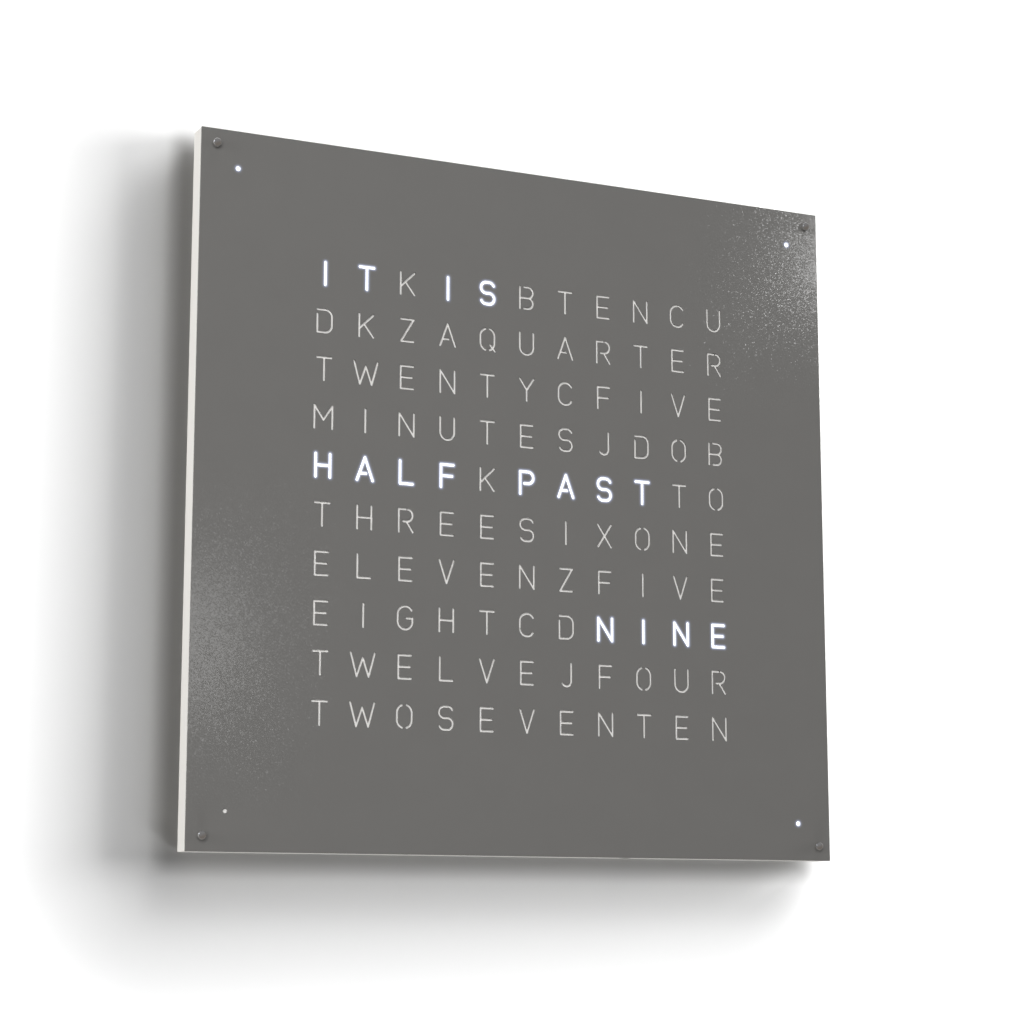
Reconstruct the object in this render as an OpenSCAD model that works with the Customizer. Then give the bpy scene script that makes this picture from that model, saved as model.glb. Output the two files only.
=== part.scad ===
// Wall-hung word clock: a square slab case behind a thin front cover that four ball magnets hold.
// X runs to the right, Z up and Y into the wall. The origin is on the wall, midway between the
// two wall screws. Inside the modules everything is drawn about the middle of the face, with
// depths measured off the wall towards the viewer, and placed() moves it to the origin.

/* [Face] */
// Width and height of the square face
face_size = 450; // [440:1:600]
// Depth of the slab that shows from the side, front cover included
slab_depth = 15; // [15:0.5:24]
// Gap between the slab and the wall
wall_gap = 5; // [5:0.5:12]
// Radius of the slab's four upright corners
corner_r = 0.5; // [0.3:0.1:4]

/* [Front cover and balls] */
// Thickness of the front cover's sheet
cover_t = 1; // [0.8:0.1:1.6]
// Diameter of a ball magnet
ball_d = 6; // [5:0.5:8]
// Diameter of the cover's hole that a ball seats in
ball_hole_d = 5.2; // [4.2:0.1:5.4]
// Distance from the face's edges to a ball's axis
ball_inset = 9.7; // [8:0.1:12]
// Gap between a seated ball and the hole's rim
ball_seat_gap = 0.05; // [0.02:0.01:0.2]
// Gap between a ball and the steel insert behind it
ball_pull_gap = 0.15; // [0.05:0.05:0.5]
// Diameter of a steel insert
insert_d = 8; // [6:0.5:9]
// Thickness of a steel insert
insert_t = 3; // [1:0.1:4]

/* [Letter field] */
// Letters in a row
columns = 11; // [5:1:11]
// Rows of letters
rows = 10; // [5:1:10]
// Distance between letters in a row
pitch_x = 28.25; // [24:0.25:29]
// Distance between rows
pitch_z = 31; // [24:0.25:32]

/* [Light grid] */
// Depth of the light grid from the LED board to the diffuser
grid_depth = 5.7; // [4:0.1:8]
// Thickness of the grid's outer rim
grid_rim_t = 2; // [1:0.1:3]
// Thickness of the grid's front web
grid_web_t = 1; // [0.6:0.1:1.5]
// Thickness of the ribs between the cups
grid_rib_t = 0.8; // [0.6:0.1:1]
// Height of the ribs behind the front web
grid_rib_h = 3.4; // [1:0.1:4]
// Wall of a light cup
cup_wall = 0.8; // [0.5:0.1:1]
// Inner diameter of a cup at its mouth
cup_mouth_d = 24.4; // [16:0.1:24.5]
// Inner diameter of a cup at the LED
cup_base_d = 9; // [7.5:0.1:12]
// Diameter of the grid's four locating pegs
peg_d = 3; // [2:0.1:4]

/* [LED board and diffuser] */
// Thickness of the circuit boards
board_t = 1.6; // [0.8:0.1:2]
// Thickness of the opal diffuser sheet
diffuser_t = 1; // [0.6:0.1:2]
// Gap between the diffuser and the front cover
diffuser_gap = 0.1; // [0:0.05:0.5]
// Overlap of the diffuser on the case's ledge
diffuser_lap = 5; // [3:0.5:6]
// Overlap of the LED board on the case's ledge
board_lap = 7.2; // [6.5:0.1:9]
// Side of a square letter LED
led_side = 5; // [3:0.1:5.2]
// Height of a letter LED
led_h = 1.6; // [0.8:0.1:2]
// Diameter of an LED's lens
led_lens_d = 4; // [2:0.1:4.4]

/* [Minute lights] */
// Diameter of the cover's hole over a minute light
lamp_hole_d = 2.8; // [2:0.1:4]
// Distance from the face's edges to a minute light
lamp_inset = 24.4; // [24:0.1:27]
// Diameter of the pocket that holds a minute light's board
lamp_pocket_d = 16; // [14:0.5:18]
// Diameter of the bore that its light runs through
lamp_bore_d = 6; // [5.5:0.5:7]
// Diameter of the opal disc in front of it
lamp_disc_d = 8; // [7:0.5:9]
// Thickness of the opal disc
lamp_disc_t = 0.9; // [0.5:0.1:1.2]
// Length of the bore that its light runs through
lamp_bore_len = 1.95; // [1.8:0.05:3]
// Side of a minute light's LED
lamp_led_side = 3.5; // [2:0.1:3.7]
// Height of a minute light's LED
lamp_led_h = 1.6; // [0.8:0.1:1.7]

/* [Case] */
// Width of the case's rim around the back cover
rear_rim = 10; // [8:0.5:14]
// Thickness of the back cover
back_cover_t = 1.5; // [1:0.1:2]
// Thickness of the case's web in front of the pockets
front_web_t = 2.5; // [2:0.1:3]
// Thickness of the case wall under the control pocket and over the sensor pocket
end_wall = 12; // [11:0.5:14]
// Corner radius of the routed pockets
pocket_r = 4; // [2:0.5:5]
// General clearance around pieces that drop into the case
fit = 0.5; // [0.2:0.1:0.8]

/* [Control board] */
// Width of the control board
control_w = 150; // [120:1:160]
// Height of the control board
control_h = 34; // [32:0.5:36]
// Sideways place of the control board's middle
control_x = -25; // [-35:1:-15]
// Height of the spacers under the control board
spacer_h = 2.1; // [1:0.1:3]
// Diameter of the spacers
spacer_d = 6; // [5:0.1:7]
// Room around the control board in its pocket
control_room = 5.5; // [5:0.5:8]
// Diameter of the coin cell
cell_d = 20; // [16:0.1:20]
// Thickness of the coin cell
cell_t = 3.2; // [1.6:0.1:3.2]

/* [Buttons] */
// Diameter of a button
button_d = 6; // [5:0.1:6.4]
// Distance between buttons
button_pitch = 18; // [12:0.5:20]
// Sideways place of the middle button
button_x = -62; // [-70:1:-50]
// How far a button stands out of the underside
button_proud = 0.2; // [0.1:0.1:1.5]
// How far a button travels when it is pressed
button_travel = 0.6; // [0.3:0.1:0.8]
// Gap between a button and its bore
button_gap = 0.1; // [0.05:0.01:0.2]
// Depth of a switch, from the board to its back
switch_t = 3.6; // [3.4:0.1:4]

/* [Power inlet] */
// Sideways place of the power inlet
inlet_x = 74; // [70:1:90]
// Diameter of the inlet's neck in the underside
inlet_neck_d = 8; // [7.6:0.1:9]
// Diameter of the socket that takes the plug
socket_d = 5.7; // [5.5:0.1:6.5]
// Depth of the socket
socket_depth = 11; // [9:0.5:11.5]
// Diameter of the centre pin
inlet_pin_d = 2; // [1.6:0.1:2.5]
// Side of the inlet's square body
inlet_body = 9.5; // [9:0.1:9.6]

/* [Light sensor] */
// Sideways place of the light sensor
sensor_x = 90; // [85:1:110]
// Diameter of the sensor's window rod
window_d = 3; // [2:0.1:4]
// Width of the sensor's pocket
sensor_pocket_w = 16; // [14:0.5:20]
// Distance from the pocket's end to the sensor's board
sensor_drop = 8; // [7:0.5:10]

/* [Antenna] */
// Length of the ferrite rod
ferrite_len = 60; // [40:1:90]
// Diameter of the ferrite rod
ferrite_d = 7; // [6:0.1:8]
// Length of the coil on the rod
coil_len = 24; // [10:1:30]
// Diameter of the coil
coil_d = 9.2; // [8.5:0.1:9.6]

/* [Wall mounting] */
// Width of the hanger rail
rail_w = 200; // [150:1:240]
// Width of the wall bracket
bracket_w = 196; // [150:1:240]
// Thickness of the rail's and the bracket's sheet
rail_t = 1.8; // [1.2:0.1:2]
// Height of the rail's flange on the back cover
rail_flange_h = 20; // [18:0.5:24]
// Height of the bracket's flange on the wall
bracket_flange_h = 26; // [24:0.5:40]
// How far the rail's lip hooks down behind the bracket
lip_len = 12; // [8:0.5:14]
// Gap between the lips, and between them and the wall or the case
lip_gap = 0.4; // [0.2:0.05:0.5]
// Gap between the bracket's lip and the rail's bend that rests on it
rest_gap = 0.2; // [0.05:0.05:0.3]
// Distance between the wall screws
wall_screw_pitch = 160; // [120:1:180]
// Diameter of the holes for the wall screws
wall_screw_hole_d = 5; // [4:0.1:6]
// Diameter of the rubber bumpers
bumper_d = 16; // [10:0.5:20]
// Distance from the back cover's edges to a bumper
bumper_inset = 28; // [22:0.5:40]

/* [Screws] */
// Shank diameter of the screws
screw_d = 2.5; // [2:0.1:3]
// Head diameter of the screws
screw_head_d = 5; // [4:0.1:5.5]
// Head height of the screws
screw_head_h = 1.5; // [1:0.1:1.6]
// Gap around a shank in its hole
screw_gap = 0.05; // [0.02:0.01:0.1]
// Length of the screws that hold the covers and boards
screw_len = 6; // [5:0.5:7]

/* [Hidden] */
$fn = 48;

// Colours
slate = [0.45, 0.445, 0.435];
off_white = [0.90, 0.885, 0.86];
opal = [0.96, 0.96, 0.97];
white = [0.97, 0.97, 0.95];
steel = [0.75, 0.76, 0.78];
zinc = [0.62, 0.64, 0.66];
board_green = [0.10, 0.35, 0.18];
chip_black = [0.10, 0.10, 0.11];
ferrite_grey = [0.22, 0.21, 0.20];
copper = [0.72, 0.42, 0.24];
brass = [0.80, 0.66, 0.32];
rubber_black = [0.07, 0.07, 0.07];
cable_grey = [0.60, 0.60, 0.62];
panel_grey = [0.30, 0.30, 0.31];
alu = [0.80, 0.81, 0.82];

// How far a cutter runs past the face that it opens
cut = 1;

// Depths off the wall, back to front
back_d = wall_gap;
inside_d = back_d + back_cover_t;
front_d = wall_gap + slab_depth;
cover_back_d = front_d - cover_t;
pocket_front_d = cover_back_d - front_web_t;
diffuser_seat_d = cover_back_d - diffuser_gap - diffuser_t;
ledge_d = diffuser_seat_d - grid_depth;
board_back_d = ledge_d - board_t;
control_front_d = pocket_front_d - spacer_h;
control_back_d = control_front_d - board_t;
lamp_seat_d = cover_back_d - diffuser_gap - lamp_disc_t;
lamp_floor_d = lamp_seat_d - lamp_bore_len;
pocket_mid_d = (pocket_front_d + inside_d) / 2;

// Ball magnets: a ball rests on the front rim of a hole that is smaller than it
ball_r = ball_d / 2;
ball_axis = face_size / 2 - ball_inset;
ball_centre_d = front_d + sqrt(pow(ball_r, 2) - pow(ball_hole_d / 2, 2)) + ball_seat_gap;
insert_front_d = ball_centre_d - ball_r - ball_pull_gap;

// Letter field and what lies behind it, each as [width, height]
field = [columns * pitch_x, rows * pitch_z];
grid_size = field + 2 * [grid_rim_t, grid_rim_t];
window = grid_size + [fit, fit];
diffuser_size = window + 2 * [diffuser_lap, diffuser_lap];
board_size = window + 2 * [board_lap, board_lap];
led_pocket = board_size + 2 * [fit, fit];
rear_rabbet = face_size - 2 * rear_rim;
cover_size = rear_rabbet - fit;
peg_at = grid_size / 2 - [grid_rim_t + peg_d, grid_rim_t + peg_d] / 2;

// Minute lights
lamp_axis = face_size / 2 - lamp_inset;
cable_w = 3;
cable_t = 0.8;
groove_w = cable_w + 2 * fit;
groove_d = inside_d + 3 * cable_t;
cable_run_d = inside_d + cable_t;
cable_start = min(board_size[0], board_size[1]) / 2 - 2 * cable_w;
lamp_board_t = 1.2;

// Control pocket
control_floor_z = -face_size / 2 + end_wall;
control_bottom_z = control_floor_z + control_room;
control_left_x = control_x - control_w / 2;
control_right_x = control_x + control_w / 2;
control_pocket_x = [control_left_x - control_room, inlet_x + inlet_body / 2 + control_room];
control_pocket_top_z = -led_pocket[1] / 2 + 1;

// Coin cell, in the middle of the control board
cell_x = control_x + 1;
cell_z = control_bottom_z + control_h / 2 + 1;
holder_floor_t = 0.8;
holder_wall = 1.6;
cell_back_d = control_back_d - holder_floor_t - cell_t - 0.1;

// Buttons
switch_h = 4;
switch_w = 6.2;
stem_d = 2.4;
stem_engage = 1.5;
flange_t = 1.2;
flange_d = button_d + 1.8;
button_d_off_wall = control_back_d - switch_t / 2;

// Power inlet
inlet_body_h = 11;
inlet_bottom_z = -face_size / 2;

// Light sensor
sensor_end_z = face_size / 2 - end_wall;
sensor_board_z = sensor_end_z - sensor_drop;
sensor_front_d = control_front_d;
sensor_chip_h = 1.2;
sensor_board_t = 1.2;

// Antenna, midway between the LED pocket and the back cover's edge
antenna_x = -(led_pocket[0] + rear_rabbet) / 4;
antenna_pocket_w = 13;
clip_w = 4;
clip_from_end = 6;

// Cables that lie behind the boards
ribbon_w = 16;
lead_w = 4;
flat_t = 0.6;
flat_d = board_back_d - 1.7;
header_h = 2.5;
header_l = 6;
header_from_edge = 14;
ribbon_top_z = -board_size[1] / 2 + header_from_edge;
ribbon_bottom_z = control_bottom_z + control_h - 1.5;
sensor_header_z = board_size[1] / 2 - header_from_edge;
antenna_header_x = -board_size[0] / 2 + header_from_edge - header_l;

// Hanger rail and wall bracket
rail_z = (led_pocket[1] + rear_rabbet) / 4;
rail_bend_z = rail_z - rail_flange_h / 2;
rail_lip_d = 1.5 * lip_gap;
bracket_lip_d = rail_lip_d + rail_t + lip_gap;
bracket_top_z = rail_bend_z - rail_t - rest_gap;
bracket_lip_len = lip_len + 2;
bracket_bend_z = bracket_top_z - bracket_lip_len;
screw_z = bracket_bend_z - bracket_flange_h / 2;

// Screw places
led_screw_along = 60;
led_screw_x = window[0] / 2 + 4;
led_screw_z = window[1] / 2 + 4;
back_screw_at = rear_rabbet / 2 - 6;
back_screw_along = 125;
control_screw_dx = control_w / 2 - 4;
control_screw_dz = control_h / 2 - 4;
rail_screw_x = [-85, -30, 30, 85];

// Helpers ---------------------------------------------------------------------------------

// Moves a piece from the face's middle to the part's origin between the wall screws
module placed() {
    translate([0, 0, -screw_z]) children();
}

// Raises a flat shape, drawn in X and Z, from depth d0 to depth d1 off the wall
module slab(d0, d1) {
    translate([0, -d0, 0]) rotate([90, 0, 0]) linear_extrude(d1 - d0) children();
}

// A round bar or cutter that stands off the wall, at x and z
module post(x, z, d0, d1, dia) {
    slab(d0, d1) translate([x, z]) circle(d = dia);
}

// A box from x0 to x1, d0 to d1 off the wall, and z0 to z1
module block(x0, x1, d0, d1, z0, z1) {
    translate([x0, -d1, z0]) cube([x1 - x0, d1 - d0, z1 - z0]);
}

// An upright round bar or cutter from z0 to z1
module upright(x, d, z0, z1, dia) {
    translate([x, -d, z0]) cylinder(h = z1 - z0, d = dia);
}

// A flat rectangle with round corners, with true arcs
module rounded(size, r) {
    square([size[0] - 2 * r, size[1]], center = true);
    square([size[0], size[1] - 2 * r], center = true);
    for (sx = [-1, 1], sz = [-1, 1])
        translate([sx * (size[0] / 2 - r), sz * (size[1] / 2 - r)]) circle(r);
}

// Repeats its child at the four corners that lie `at` from the middle
module four(at) {
    for (sx = [-1, 1], sz = [-1, 1]) translate([sx * at, 0, sz * at]) children();
}

// Repeats its child behind every letter
module each_letter() {
    for (i = [0 : columns - 1], j = [0 : rows - 1])
        translate([(i - (columns - 1) / 2) * pitch_x, 0, (j - (rows - 1) / 2) * pitch_z])
            children();
}

// A pan-head screw with a hex socket, driven towards the viewer, its head seated at depth d
module screw(x, z, d, len) {
    difference() {
        union() {
            post(x, z, d - screw_head_h, d, screw_head_d);
            post(x, z, d, d + len, screw_d);
        }
        slab(d - screw_head_h - cut, d - screw_head_h / 2)
            translate([x, z]) circle(d = screw_d * 0.8, $fn = 6);
    }
}

// The hole that a screw of that length needs from depth d0 on
module screw_hole(x, z, d0, len) {
    post(x, z, d0, d0 + len + 2 * screw_gap, screw_d + 2 * screw_gap);
}

// Where the LED board's screws are, as a list of [x, z]
function led_screws() = concat(
    [for (s = [-1, 1], t = [-1, 1]) [s * led_screw_along, t * led_screw_z]],
    [for (s = [-1, 1], t = [-1, 1]) [t * led_screw_x, s * led_screw_along]]);

// Where the back cover's screws are
function back_screws() = concat(
    [for (s = [-1, 1], t = [-1, 1]) [s * back_screw_at, t * back_screw_at]],
    [for (s = [-1, 1], t = [-1, 1]) [s * back_screw_along, t * back_screw_at]],
    [for (s = [-1, 1], t = [-1, 1]) [t * back_screw_at, s * back_screw_along]]);

// Where the control board's screws are
function control_screws() =
    [for (s = [-1, 1], t = [-1, 1])
        [control_x + s * control_screw_dx,
         control_bottom_z + control_h / 2 + t * control_screw_dz]];

// Front cover and balls -------------------------------------------------------------------

module front_cover() placed() color(slate) difference() {
    slab(cover_back_d, front_d) rounded([face_size, face_size], corner_r);
    four(ball_axis) post(0, 0, cover_back_d - cut, front_d + cut, ball_hole_d);
    four(lamp_axis) post(0, 0, cover_back_d - cut, front_d + cut, lamp_hole_d);
}

// A ball magnet in the corner that the signs sx and sz name
module ball_magnet(sx, sz) placed() color(steel)
    translate([sx * ball_axis, -ball_centre_d, sz * ball_axis]) sphere(r = ball_r);

module steel_inserts() placed() color(zinc)
    four(ball_axis) post(0, 0, insert_front_d - insert_t, insert_front_d, insert_d);

// Light stack -----------------------------------------------------------------------------

module diffuser_sheet() placed() color(opal)
    slab(diffuser_seat_d, diffuser_seat_d + diffuser_t) rounded(diffuser_size - [fit, fit], pocket_r);

// A cup's cone, grown by `grow` all round, with its narrow end on the LED board
module cup(grow, over) {
    slope = (cup_mouth_d - cup_base_d) / 2 / grid_depth;
    translate([0, -ledge_d + over, 0]) rotate([90, 0, 0])
        cylinder(h = grid_depth + 2 * over,
                 r1 = cup_base_d / 2 + grow - slope * over,
                 r2 = cup_mouth_d / 2 + grow + slope * over);
}

// The light grid: a rimmed web with ribs behind it, and one cup for each letter
module light_grid() placed() color(white) difference() {
    union() {
        slab(diffuser_seat_d - grid_web_t, diffuser_seat_d) rounded(grid_size, grid_rim_t);
        slab(ledge_d, diffuser_seat_d) difference() {
            rounded(grid_size, grid_rim_t);
            rounded(field, grid_rim_t / 2);
        }
        slab(diffuser_seat_d - grid_web_t - grid_rib_h, diffuser_seat_d - grid_web_t) {
            for (i = [1 : columns - 1])
                translate([i * pitch_x - field[0] / 2, 0])
                    square([grid_rib_t, field[1] + grid_rim_t], center = true);
            for (j = [1 : rows - 1])
                translate([0, j * pitch_z - field[1] / 2])
                    square([field[0] + grid_rim_t, grid_rib_t], center = true);
        }
        each_letter() cup(cup_wall, 0);
        for (sx = [-1, 1], sz = [-1, 1])
            post(sx * peg_at[0], sz * peg_at[1], board_back_d, ledge_d + cut, peg_d);
    }
    each_letter() cup(0, cut / 4);
}

module led_board() placed() color(board_green) difference() {
    slab(board_back_d, ledge_d) rounded(board_size, pocket_r + fit);
    for (p = led_screws()) post(p[0], p[1], board_back_d - cut, ledge_d + cut, screw_d + 2 * screw_gap);
    for (sx = [-1, 1], sz = [-1, 1])
        post(sx * peg_at[0], sz * peg_at[1], board_back_d - cut, ledge_d + cut, peg_d + 2 * screw_gap);
}

module letter_leds() placed() color(white) each_letter() {
    block(-led_side / 2, led_side / 2, ledge_d, ledge_d + led_h, -led_side / 2, led_side / 2);
    post(0, 0, ledge_d, ledge_d + led_h + 0.2, led_lens_d);
}

module led_drivers() placed() color(chip_black)
    for (i = [-1.5 : 1.5], s = [-1, 1])
        translate([i * 2 * pitch_x, 0, s * 3 * pitch_z])
            block(-5, 5, board_back_d - 1.5, board_back_d, -3.5, 3.5);

module led_board_screws() placed() color(zinc)
    for (p = led_screws()) screw(p[0], p[1], board_back_d, screw_len - board_t / 2);

// Minute lights ---------------------------------------------------------------------------

module minute_light_discs() placed() color(opal)
    four(lamp_axis) post(0, 0, lamp_seat_d, lamp_seat_d + lamp_disc_t, lamp_disc_d);

module minute_light_boards() placed() color(board_green)
    four(lamp_axis) post(0, 0, lamp_floor_d - lamp_board_t, lamp_floor_d, lamp_pocket_d - 2 * fit);

module minute_light_leds() placed() color(white)
    four(lamp_axis)
        block(-lamp_led_side / 2, lamp_led_side / 2, lamp_floor_d, lamp_floor_d + lamp_led_h,
              -lamp_led_side / 2, lamp_led_side / 2);

// A strip along the diagonal from start to end, both given as distances along X
module diagonal(start, end, w) {
    rotate(45) translate([start * sqrt(2), -w / 2]) square([(end - start) * sqrt(2), w]);
}

// One flat cable, drawn for the top right corner: down to the LED board, along, down to the lamp
module minute_light_cable() {
    slab(cable_run_d, cable_run_d + cable_t) diagonal(cable_start, lamp_axis, cable_w);
    slab(cable_run_d, board_back_d) diagonal(cable_start, cable_start + cable_t, cable_w);
    slab(cable_run_d, lamp_floor_d - lamp_board_t)
        diagonal(lamp_axis - cable_t, lamp_axis, cable_w);
}

module minute_light_cables() placed() color(cable_grey)
    for (a = [0, 90, 180, 270]) rotate([0, a, 0]) minute_light_cable();

// Case ------------------------------------------------------------------------------------

// The window for the light stack, the seats before and behind it, and the back cover's rabbet
module light_stack_cuts() {
    slab(ledge_d - cut, cover_back_d + cut) rounded(window, grid_rim_t);
    slab(diffuser_seat_d, cover_back_d + cut) rounded(diffuser_size, pocket_r);
    slab(inside_d - cut, ledge_d) rounded(led_pocket, pocket_r);
    slab(back_d - cut, inside_d) rounded([rear_rabbet, rear_rabbet], pocket_r);
}

module minute_light_cuts() {
    four(lamp_axis) {
        post(0, 0, inside_d - cut, lamp_floor_d, lamp_pocket_d);
        post(0, 0, lamp_floor_d - cut, cover_back_d, lamp_bore_d);
        post(0, 0, lamp_seat_d, cover_back_d + cut, lamp_disc_d + fit);
    }
    for (a = [0, 90, 180, 270]) rotate([0, a, 0])
        slab(inside_d - cut, groove_d) diagonal(cable_start, lamp_axis, groove_w);
}

module insert_cuts() {
    four(ball_axis) post(0, 0, insert_front_d - insert_t, cover_back_d + cut, insert_d + 2 * screw_gap);
}

// A routed pocket between two x and two z values, from the back cover forward to depth d
module routed(x, z, d) {
    slab(inside_d - cut, d) translate([(x[0] + x[1]) / 2, (z[0] + z[1]) / 2])
        rounded([x[1] - x[0], z[1] - z[0]], pocket_r);
}

module control_cuts() {
    routed(control_pocket_x, [control_floor_z, control_pocket_top_z], pocket_front_d);
    for (i = [-1, 0, 1])
        upright(button_x + i * button_pitch, button_d_off_wall, -face_size / 2 - cut,
                control_floor_z + cut, button_d + 2 * button_gap);
    upright(inlet_x, pocket_mid_d, -face_size / 2 - cut, control_floor_z + cut,
            inlet_neck_d + 2 * screw_gap);
}

module sensor_cuts() {
    half = sensor_pocket_w / 2;
    routed([sensor_x - half, sensor_x + half], [led_pocket[1] / 2 - 2 * pocket_r, sensor_end_z],
           sensor_front_d);
    upright(sensor_x, pocket_mid_d, sensor_end_z - cut, face_size / 2 + cut, window_d + 2 * screw_gap);
}

module antenna_cuts() {
    half_w = antenna_pocket_w / 2;
    half_h = ferrite_len / 2 + clip_from_end;
    routed([antenna_x - half_w, antenna_x + half_w], [-half_h, half_h], pocket_front_d);
    routed([antenna_x, -led_pocket[0] / 2 + 2 * pocket_r], [-pocket_r - fit, pocket_r + fit],
           board_back_d);
}

module case_frame() placed() color(off_white) difference() {
    slab(back_d, cover_back_d) rounded([face_size, face_size], corner_r);
    light_stack_cuts();
    minute_light_cuts();
    insert_cuts();
    control_cuts();
    sensor_cuts();
    antenna_cuts();
    for (p = led_screws()) screw_hole(p[0], p[1], ledge_d, screw_len - board_t * 1.5);
    for (p = back_screws()) screw_hole(p[0], p[1], inside_d, screw_len - back_cover_t);
    for (p = control_screws()) screw_hole(p[0], p[1], pocket_front_d, screw_len - board_t - spacer_h - 0.5);
    for (x = rail_screw_x) screw_hole(x, rail_z, inside_d, screw_len);
}

module back_cover() placed() color(panel_grey) difference() {
    slab(back_d, inside_d) rounded([cover_size, cover_size], pocket_r);
    for (p = back_screws()) post(p[0], p[1], back_d - cut, inside_d + cut, screw_d + 2 * screw_gap);
    for (x = rail_screw_x) post(x, rail_z, back_d - cut, inside_d + cut, screw_d + 2 * screw_gap);
}

module back_cover_screws() placed() color(zinc)
    for (p = back_screws()) screw(p[0], p[1], back_d, screw_len);

// Control board ---------------------------------------------------------------------------

module control_board() placed() color(board_green) difference() {
    block(control_left_x, control_right_x, control_back_d, control_front_d,
          control_bottom_z, control_bottom_z + control_h);
    for (p = control_screws())
        post(p[0], p[1], control_back_d - cut, control_front_d + cut, screw_d + 2 * screw_gap);
}

module control_board_spacers() placed() color(white) difference() {
    for (p = control_screws()) post(p[0], p[1], control_front_d, pocket_front_d, spacer_d);
    for (p = control_screws())
        post(p[0], p[1], control_front_d - cut, pocket_front_d + cut, screw_d + 2 * screw_gap);
}

module control_board_screws() placed() color(zinc)
    for (p = control_screws()) screw(p[0], p[1], control_back_d, screw_len - 0.5);

// A chip of that size on the control board's back, at x and z
module control_chip(x, z, w, h, t) {
    block(x - w / 2, x + w / 2, control_back_d - t, control_back_d, z - h / 2, z + h / 2);
}

module control_chips() placed() color(chip_black) {
    mid_z = control_bottom_z + control_h * 0.6;
    control_chip(control_left_x + 22, mid_z, 12, 12, 1.5);
    control_chip(control_left_x + 42, mid_z, 8, 6, 1.2);
    control_chip(control_left_x + 56, mid_z, 8, 6, 1.2);
    control_chip(control_right_x - 12, mid_z - 4, 6, 7, 2.2);
}

module quartz_crystal() placed() color(steel)
    upright(control_left_x + 33, control_back_d - 1.6, control_bottom_z + control_h * 0.6 - 4,
            control_bottom_z + control_h * 0.6 + 4, 3);

module capacitors() placed() color(zinc)
    for (s = [0, 1])
        post(control_right_x - 30 + 9 * s, control_bottom_z + 10, control_back_d - 5, control_back_d, 6.3);

module coin_cell_holder() placed() color(chip_black) difference() {
    union() {
        post(cell_x, cell_z, cell_back_d - 0.4, control_back_d, cell_d + 2 * (holder_wall + fit / 2));
        block(cell_x - 4, cell_x + 4, cell_back_d - 0.4, control_back_d,
              cell_z + cell_d / 2, cell_z + cell_d / 2 + 3);
    }
    post(cell_x, cell_z, cell_back_d - cut, control_back_d - holder_floor_t, cell_d + fit);
    block(cell_x - cell_d, cell_x + cell_d, cell_back_d - cut, control_back_d - holder_floor_t,
          cell_z - cell_d, cell_z - cell_d / 4);
}

module coin_cell() placed() color(steel) {
    post(cell_x, cell_z, cell_back_d + 0.3, cell_back_d + cell_t, cell_d);
    post(cell_x, cell_z, cell_back_d, cell_back_d + 0.4, cell_d - 3);
}

// Cables and headers ----------------------------------------------------------------------

module ribbon_cable() placed() color(cable_grey)
    block(-ribbon_w / 2, ribbon_w / 2, flat_d, flat_d + flat_t, ribbon_bottom_z, ribbon_top_z);

module cable_headers() placed() color(white) {
    block(-ribbon_w / 2 - 2, ribbon_w / 2 + 2, board_back_d - header_h, board_back_d,
          ribbon_top_z, ribbon_top_z + header_l);
    block(-ribbon_w / 2 - 2, ribbon_w / 2 + 2, board_back_d - header_h, control_back_d,
          ribbon_bottom_z - header_l, ribbon_bottom_z);
    block(sensor_x - lead_w, sensor_x + lead_w, board_back_d - header_h, board_back_d,
          sensor_header_z - header_l, sensor_header_z);
    block(antenna_header_x, antenna_header_x + header_l, board_back_d - header_h, board_back_d,
          -lead_w, lead_w);
}

// Buttons and power inlet -----------------------------------------------------------------

// A push button: its cap through the case wall, a flange that keeps it in, and a stem
module button(place) placed() color(alu)
    translate([button_x + place * button_pitch, -button_d_off_wall, 0]) {
        bottom = -face_size / 2 - button_proud;
        flange_z = control_floor_z + button_gap / 2;
        chamfer = 0.5;
        translate([0, 0, bottom]) cylinder(h = chamfer, d1 = button_d - 2 * chamfer, d2 = button_d);
        translate([0, 0, bottom + chamfer])
            cylinder(h = flange_z - bottom - chamfer, d = button_d);
        translate([0, 0, flange_z]) cylinder(h = flange_t, d = flange_d);
        translate([0, 0, flange_z + flange_t])
            cylinder(h = control_bottom_z + stem_engage - flange_z - flange_t, d = stem_d);
    }

// Side-push switches on the board's lower edge, each with a guide hole for a button's stem
module button_switches() placed() color(chip_black)
    for (i = [-1, 0, 1]) translate([button_x + i * button_pitch, 0, 0]) difference() {
        block(-switch_w / 2, switch_w / 2, control_back_d - switch_t, control_back_d,
              control_bottom_z, control_bottom_z + switch_h);
        upright(0, button_d_off_wall, control_bottom_z - cut,
                control_bottom_z + stem_engage + button_travel + 0.3, stem_d + 2 * button_gap);
    }

module power_inlet() placed() color(chip_black) difference() {
    union() {
        upright(inlet_x, pocket_mid_d, inlet_bottom_z, control_floor_z + cut, inlet_neck_d);
        block(inlet_x - inlet_body / 2, inlet_x + inlet_body / 2,
              pocket_mid_d - inlet_body / 2, pocket_mid_d + inlet_body / 2,
              control_floor_z, control_floor_z + inlet_body_h);
    }
    upright(inlet_x, pocket_mid_d, inlet_bottom_z - cut, inlet_bottom_z + socket_depth, socket_d);
}

module power_inlet_pin() placed() color(brass) {
    tip_z = inlet_bottom_z + 1 + inlet_pin_d / 2;
    upright(inlet_x, pocket_mid_d, tip_z, inlet_bottom_z + socket_depth, inlet_pin_d);
    translate([inlet_x, -pocket_mid_d, tip_z - inlet_pin_d / 2])
        cylinder(h = inlet_pin_d / 2, d1 = inlet_pin_d / 2, d2 = inlet_pin_d);
}

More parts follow.
